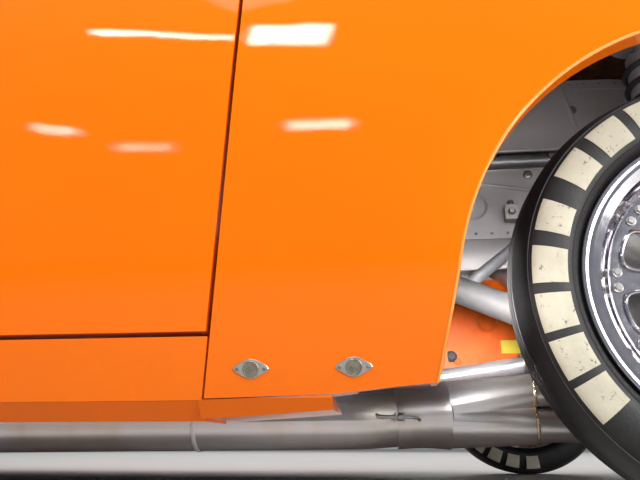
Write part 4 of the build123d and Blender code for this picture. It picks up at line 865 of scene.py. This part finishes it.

# cabin: gauges, belts, pedals
ga, gb = Batch(), Batch()
for i, (y, z, r) in enumerate(((0.30, 0.755, 0.045), (0.412, 0.765, 0.055), (0.524, 0.755, 0.045), (0.10, 0.75, 0.032), (0.01, 0.75, 0.032), (-0.08, 0.75, 0.032))):
    p, n = hit("dashboard", (0.2, y, z), (1, 0, 0))
    if p is None:
        continue
    revolve(ga, p - n * 0.004, n, [(r, 0.0), (r + 0.004, 0.0), (r + 0.004, 0.014), (r, 0.017), (r - 0.003, 0.015), (r - 0.003, 0.0)], n=48, closed=True)
    disc(gb, p - n * 0.001, n, r - 0.003, 0.006, n=40)
ga.obj("gauge_bezels", "bright_chrome", "car")
gb.obj("gauge_faces", "dial_white", "car", slot="black_trim")
bl = Batch()
for y in (0.332, 0.492):
    pts0 = [(-0.318, y, 0.80), (-0.245, y, 0.80), (-0.170, y, 0.66), (-0.105, y, 0.50), (-0.070, y * 0.75 + 0.103, 0.400)]
    for a, b2 in zip(pts0, pts0[1:]):
        a, b2 = Vector(a), Vector(b2)
        d = (b2 - a).normalized()
        w = Vector((0, 0.025, 0))
        up = d.cross(Vector((0, 1, 0))).normalized()
        if up.x < 0:
            up = -up
        q = [a - w, a + w, b2 + w, b2 - w]
        bl.add([p + up * 0.003 for p in q] + [p + up * 0.0005 for p in q], [(0, 1, 2, 3), (7, 6, 5, 4), (0, 4, 5, 1), (1, 5, 6, 2), (2, 6, 7, 3), (3, 7, 4, 0)])
bl.obj("shoulder_belts", "belt_red", "car", slot="seat_cover")
pd = Batch()
for y, w in ((0.33, 0.035), (0.43, 0.05), (0.53, 0.035)):
    box_mesh(pd, (0.640, y - w / 2, 0.290), (0.652, y + w / 2, 0.370))
    box_mesh(pd, (0.652, y - 0.006, 0.330), (0.700, y + 0.006, 0.345))
    box_mesh(pd, (0.695, y - 0.006, 0.330), (0.746, y + 0.006, 0.420))
pd.obj("pedals", "bolt_steel", "car", slot="black_trim", bevel=0.002)

# underside: axle bolts, spring coils at the rear, pan bolts
ub = Batch()
for i in range(10):
    a = 2 * math.pi * i / 10
    bolt(ub, (XR + 0.115 * math.cos(a), 0.060, 0.400 + 0.115 * math.sin(a)), (0, 1, 0), 0.008)
    bolt(ub, (XR + 0.115 * math.cos(a), -0.060, 0.400 + 0.115 * math.sin(a)), (0, -1, 0), 0.008)
for x in (1.01, 1.10, 1.19, 1.28, 1.37, 1.45):
    for y in (-0.104, 0.104):
        bolt(ub, (x, y, 0.2045 if x > 1.24 else 0.1585), (0, 0, -1), 0.006)
ub.obj("underside_bolts", "bolt_steel", "car", slot="cast_case")
rs = Batch()
for y in (-0.39, 0.39):
    coil = [(XR - 0.15 + 0.047 * math.cos(2 * math.pi * k / 20), y + 0.047 * math.sin(2 * math.pi * k / 20), 0.365 + 0.20 * k / 160) for k in range(161)]
    wire(rs, coil, 0.0055, n=8)
rs.obj("rear_springs", "engine_paint", "car")

# ---------------------------------------------------------------- floor, light, camera
fl = bpy.data.meshes.new("floor")
fl.from_pydata([(-14, -14, 0), (14, -14, 0), (14, 14, 0), (-14, 14, 0)], [], [(0, 1, 2, 3)])
floor = bpy.data.objects.new("floor", fl)
scene.collection.objects.link(floor)
fm = surface("floor_plain", (0.46, 0.455, 0.445), rough=0.7, vary=0.05, scale=1.5, bump=0.05, bump_scale=60.0)
fl.materials.append(fm)

world = bpy.data.worlds.new("studio")
scene.world = world
world.use_nodes = True
bg = world.node_tree.nodes["Background"]
bg.inputs[0].default_value = (0.80, 0.84, 0.90, 1)
bg.inputs[1].default_value = 0.37


def area(name, loc, target, sx, sy, power, color=(1, 1, 1)):
    l = bpy.data.lights.new(name, "AREA")
    l.shape = "RECTANGLE"
    l.size, l.size_y = sx, sy
    l.energy = power
    l.color = color
    o = bpy.data.objects.new(name, l)
    scene.collection.objects.link(o)
    o.location = loc
    d = Vector(target) - Vector(loc)
    o.rotation_euler = d.to_track_quat("-Z", "Y").to_euler()
    return o


area("key_right", (5.4, -4.2, 2.4), (0.9, -0.9, 0.4), 2.4, 2.0, 126, (1.0, 0.98, 0.95))
area("near_right", (2.7, -2.3, 1.5), (1.0, -0.9, 0.35), 0.9, 0.7, 19.0, (1.0, 0.98, 0.96))
area("side_soft", (4.3, -3.3, 0.62), (1.1, -0.8, 0.30), 1.7, 1.0, 55, (1.0, 0.99, 0.97))
area("top_right", (1.4, -1.9, 4.4), (0.9, -0.9, 0.5), 4.0, 1.0, 36, (1.0, 0.99, 0.97))
area("side_left", (-4.4, -3.4, 2.0), (0.0, -0.9, 0.4), 2.0, 1.8, 13, (0.97, 0.98, 1.0))
area("top_mid", (-0.3, 0.8, 5.2), (-0.3, 0.0, 0.8), 6.5, 3.6, 150, (1.0, 0.99, 0.97))
area("far_side", (0.6, 6.6, 3.6), (0.0, 0.9, 0.4), 8.0, 3.4, 190, (1.0, 0.98, 0.95))
area("nose_light", (6.8, 1.6, 3.2), (1.8, 0.0, 0.5), 4.6, 2.8, 110)
area("tail_light", (-6.8, 1.2, 3.2), (-1.8, 0.0, 0.5), 4.6, 2.8, 130)
# ceiling lamps that show as short bars in the paint
area("lamp_a", (0.48, -2.78, 2.70), (0.82, -0.92, 0.60), 0.46, 0.34, 26, (1.0, 0.97, 0.88))
area("lamp_b", (-0.22, -2.62, 2.70), (0.60, -0.92, 0.62), 0.84, 0.06, 8.0, (1.0, 0.97, 0.88))
area("lamp_c", (0.38, -5.87, 2.70), (0.86, -0.92, 0.48), 0.64, 0.10, 12, (1.0, 0.97, 0.88))
area("lamp_d", (-2.22, -5.48, 2.70), (0.52, -0.92, 0.49), 0.40, 0.07, 5, (1.0, 0.97, 0.88))
area("lamp_e", (-1.75, -6.64, 2.70), (0.65, -0.92, 0.46), 0.62, 0.07, 5, (1.0, 0.97, 0.88))
# fill for the wheel well and the pipe: a gridded low lamp beside the camera, and small ones behind the fender
low = area("low_arch", (1.21, -1.74, 0.10), (1.17, -0.50, 0.44), 0.12, 0.10, 0.07, (1.0, 0.99, 0.98))
low.data.spread = math.radians(24)
for fill, spread in (
    (area("well_fill", (1.28, -0.84, 0.60), (1.26, -0.44, 0.64), 0.30, 0.06, 0.22, (1.0, 0.98, 0.96)), 180),
    (area("collector_fill", (1.04, -0.86, 0.27), (1.04, -0.54, 0.15), 0.22, 0.05, 0.07, (1.0, 0.98, 0.96)), 180),
    (area("block_fill", (1.07, -0.86, 0.30), (1.16, -0.24, 0.29), 0.05, 0.12, 0.50, (1.0, 0.98, 0.95)), 46),
    (area("floor_bounce", (0.72, -0.74, 0.006), (0.72, -0.71, 0.60), 1.3, 0.14, 0.24, (1.0, 0.98, 0.94)), 180),
):
    fill.data.spread = math.radians(spread)
    fill.visible_camera = False

cam = bpy.data.cameras.new("camera")
cam.sensor_width = 36.0
cam.lens = 34.36
cam.clip_start = 0.02
cam.clip_end = 60.0
co = bpy.data.objects.new("camera", cam)
scene.collection.objects.link(co)
co.location = (0.947, -1.594, 0.097)
co.rotation_euler = (math.radians(90 + 18.53), 0.0, math.radians(6.48))
scene.camera = co
scene.view_settings.view_transform = "Standard"
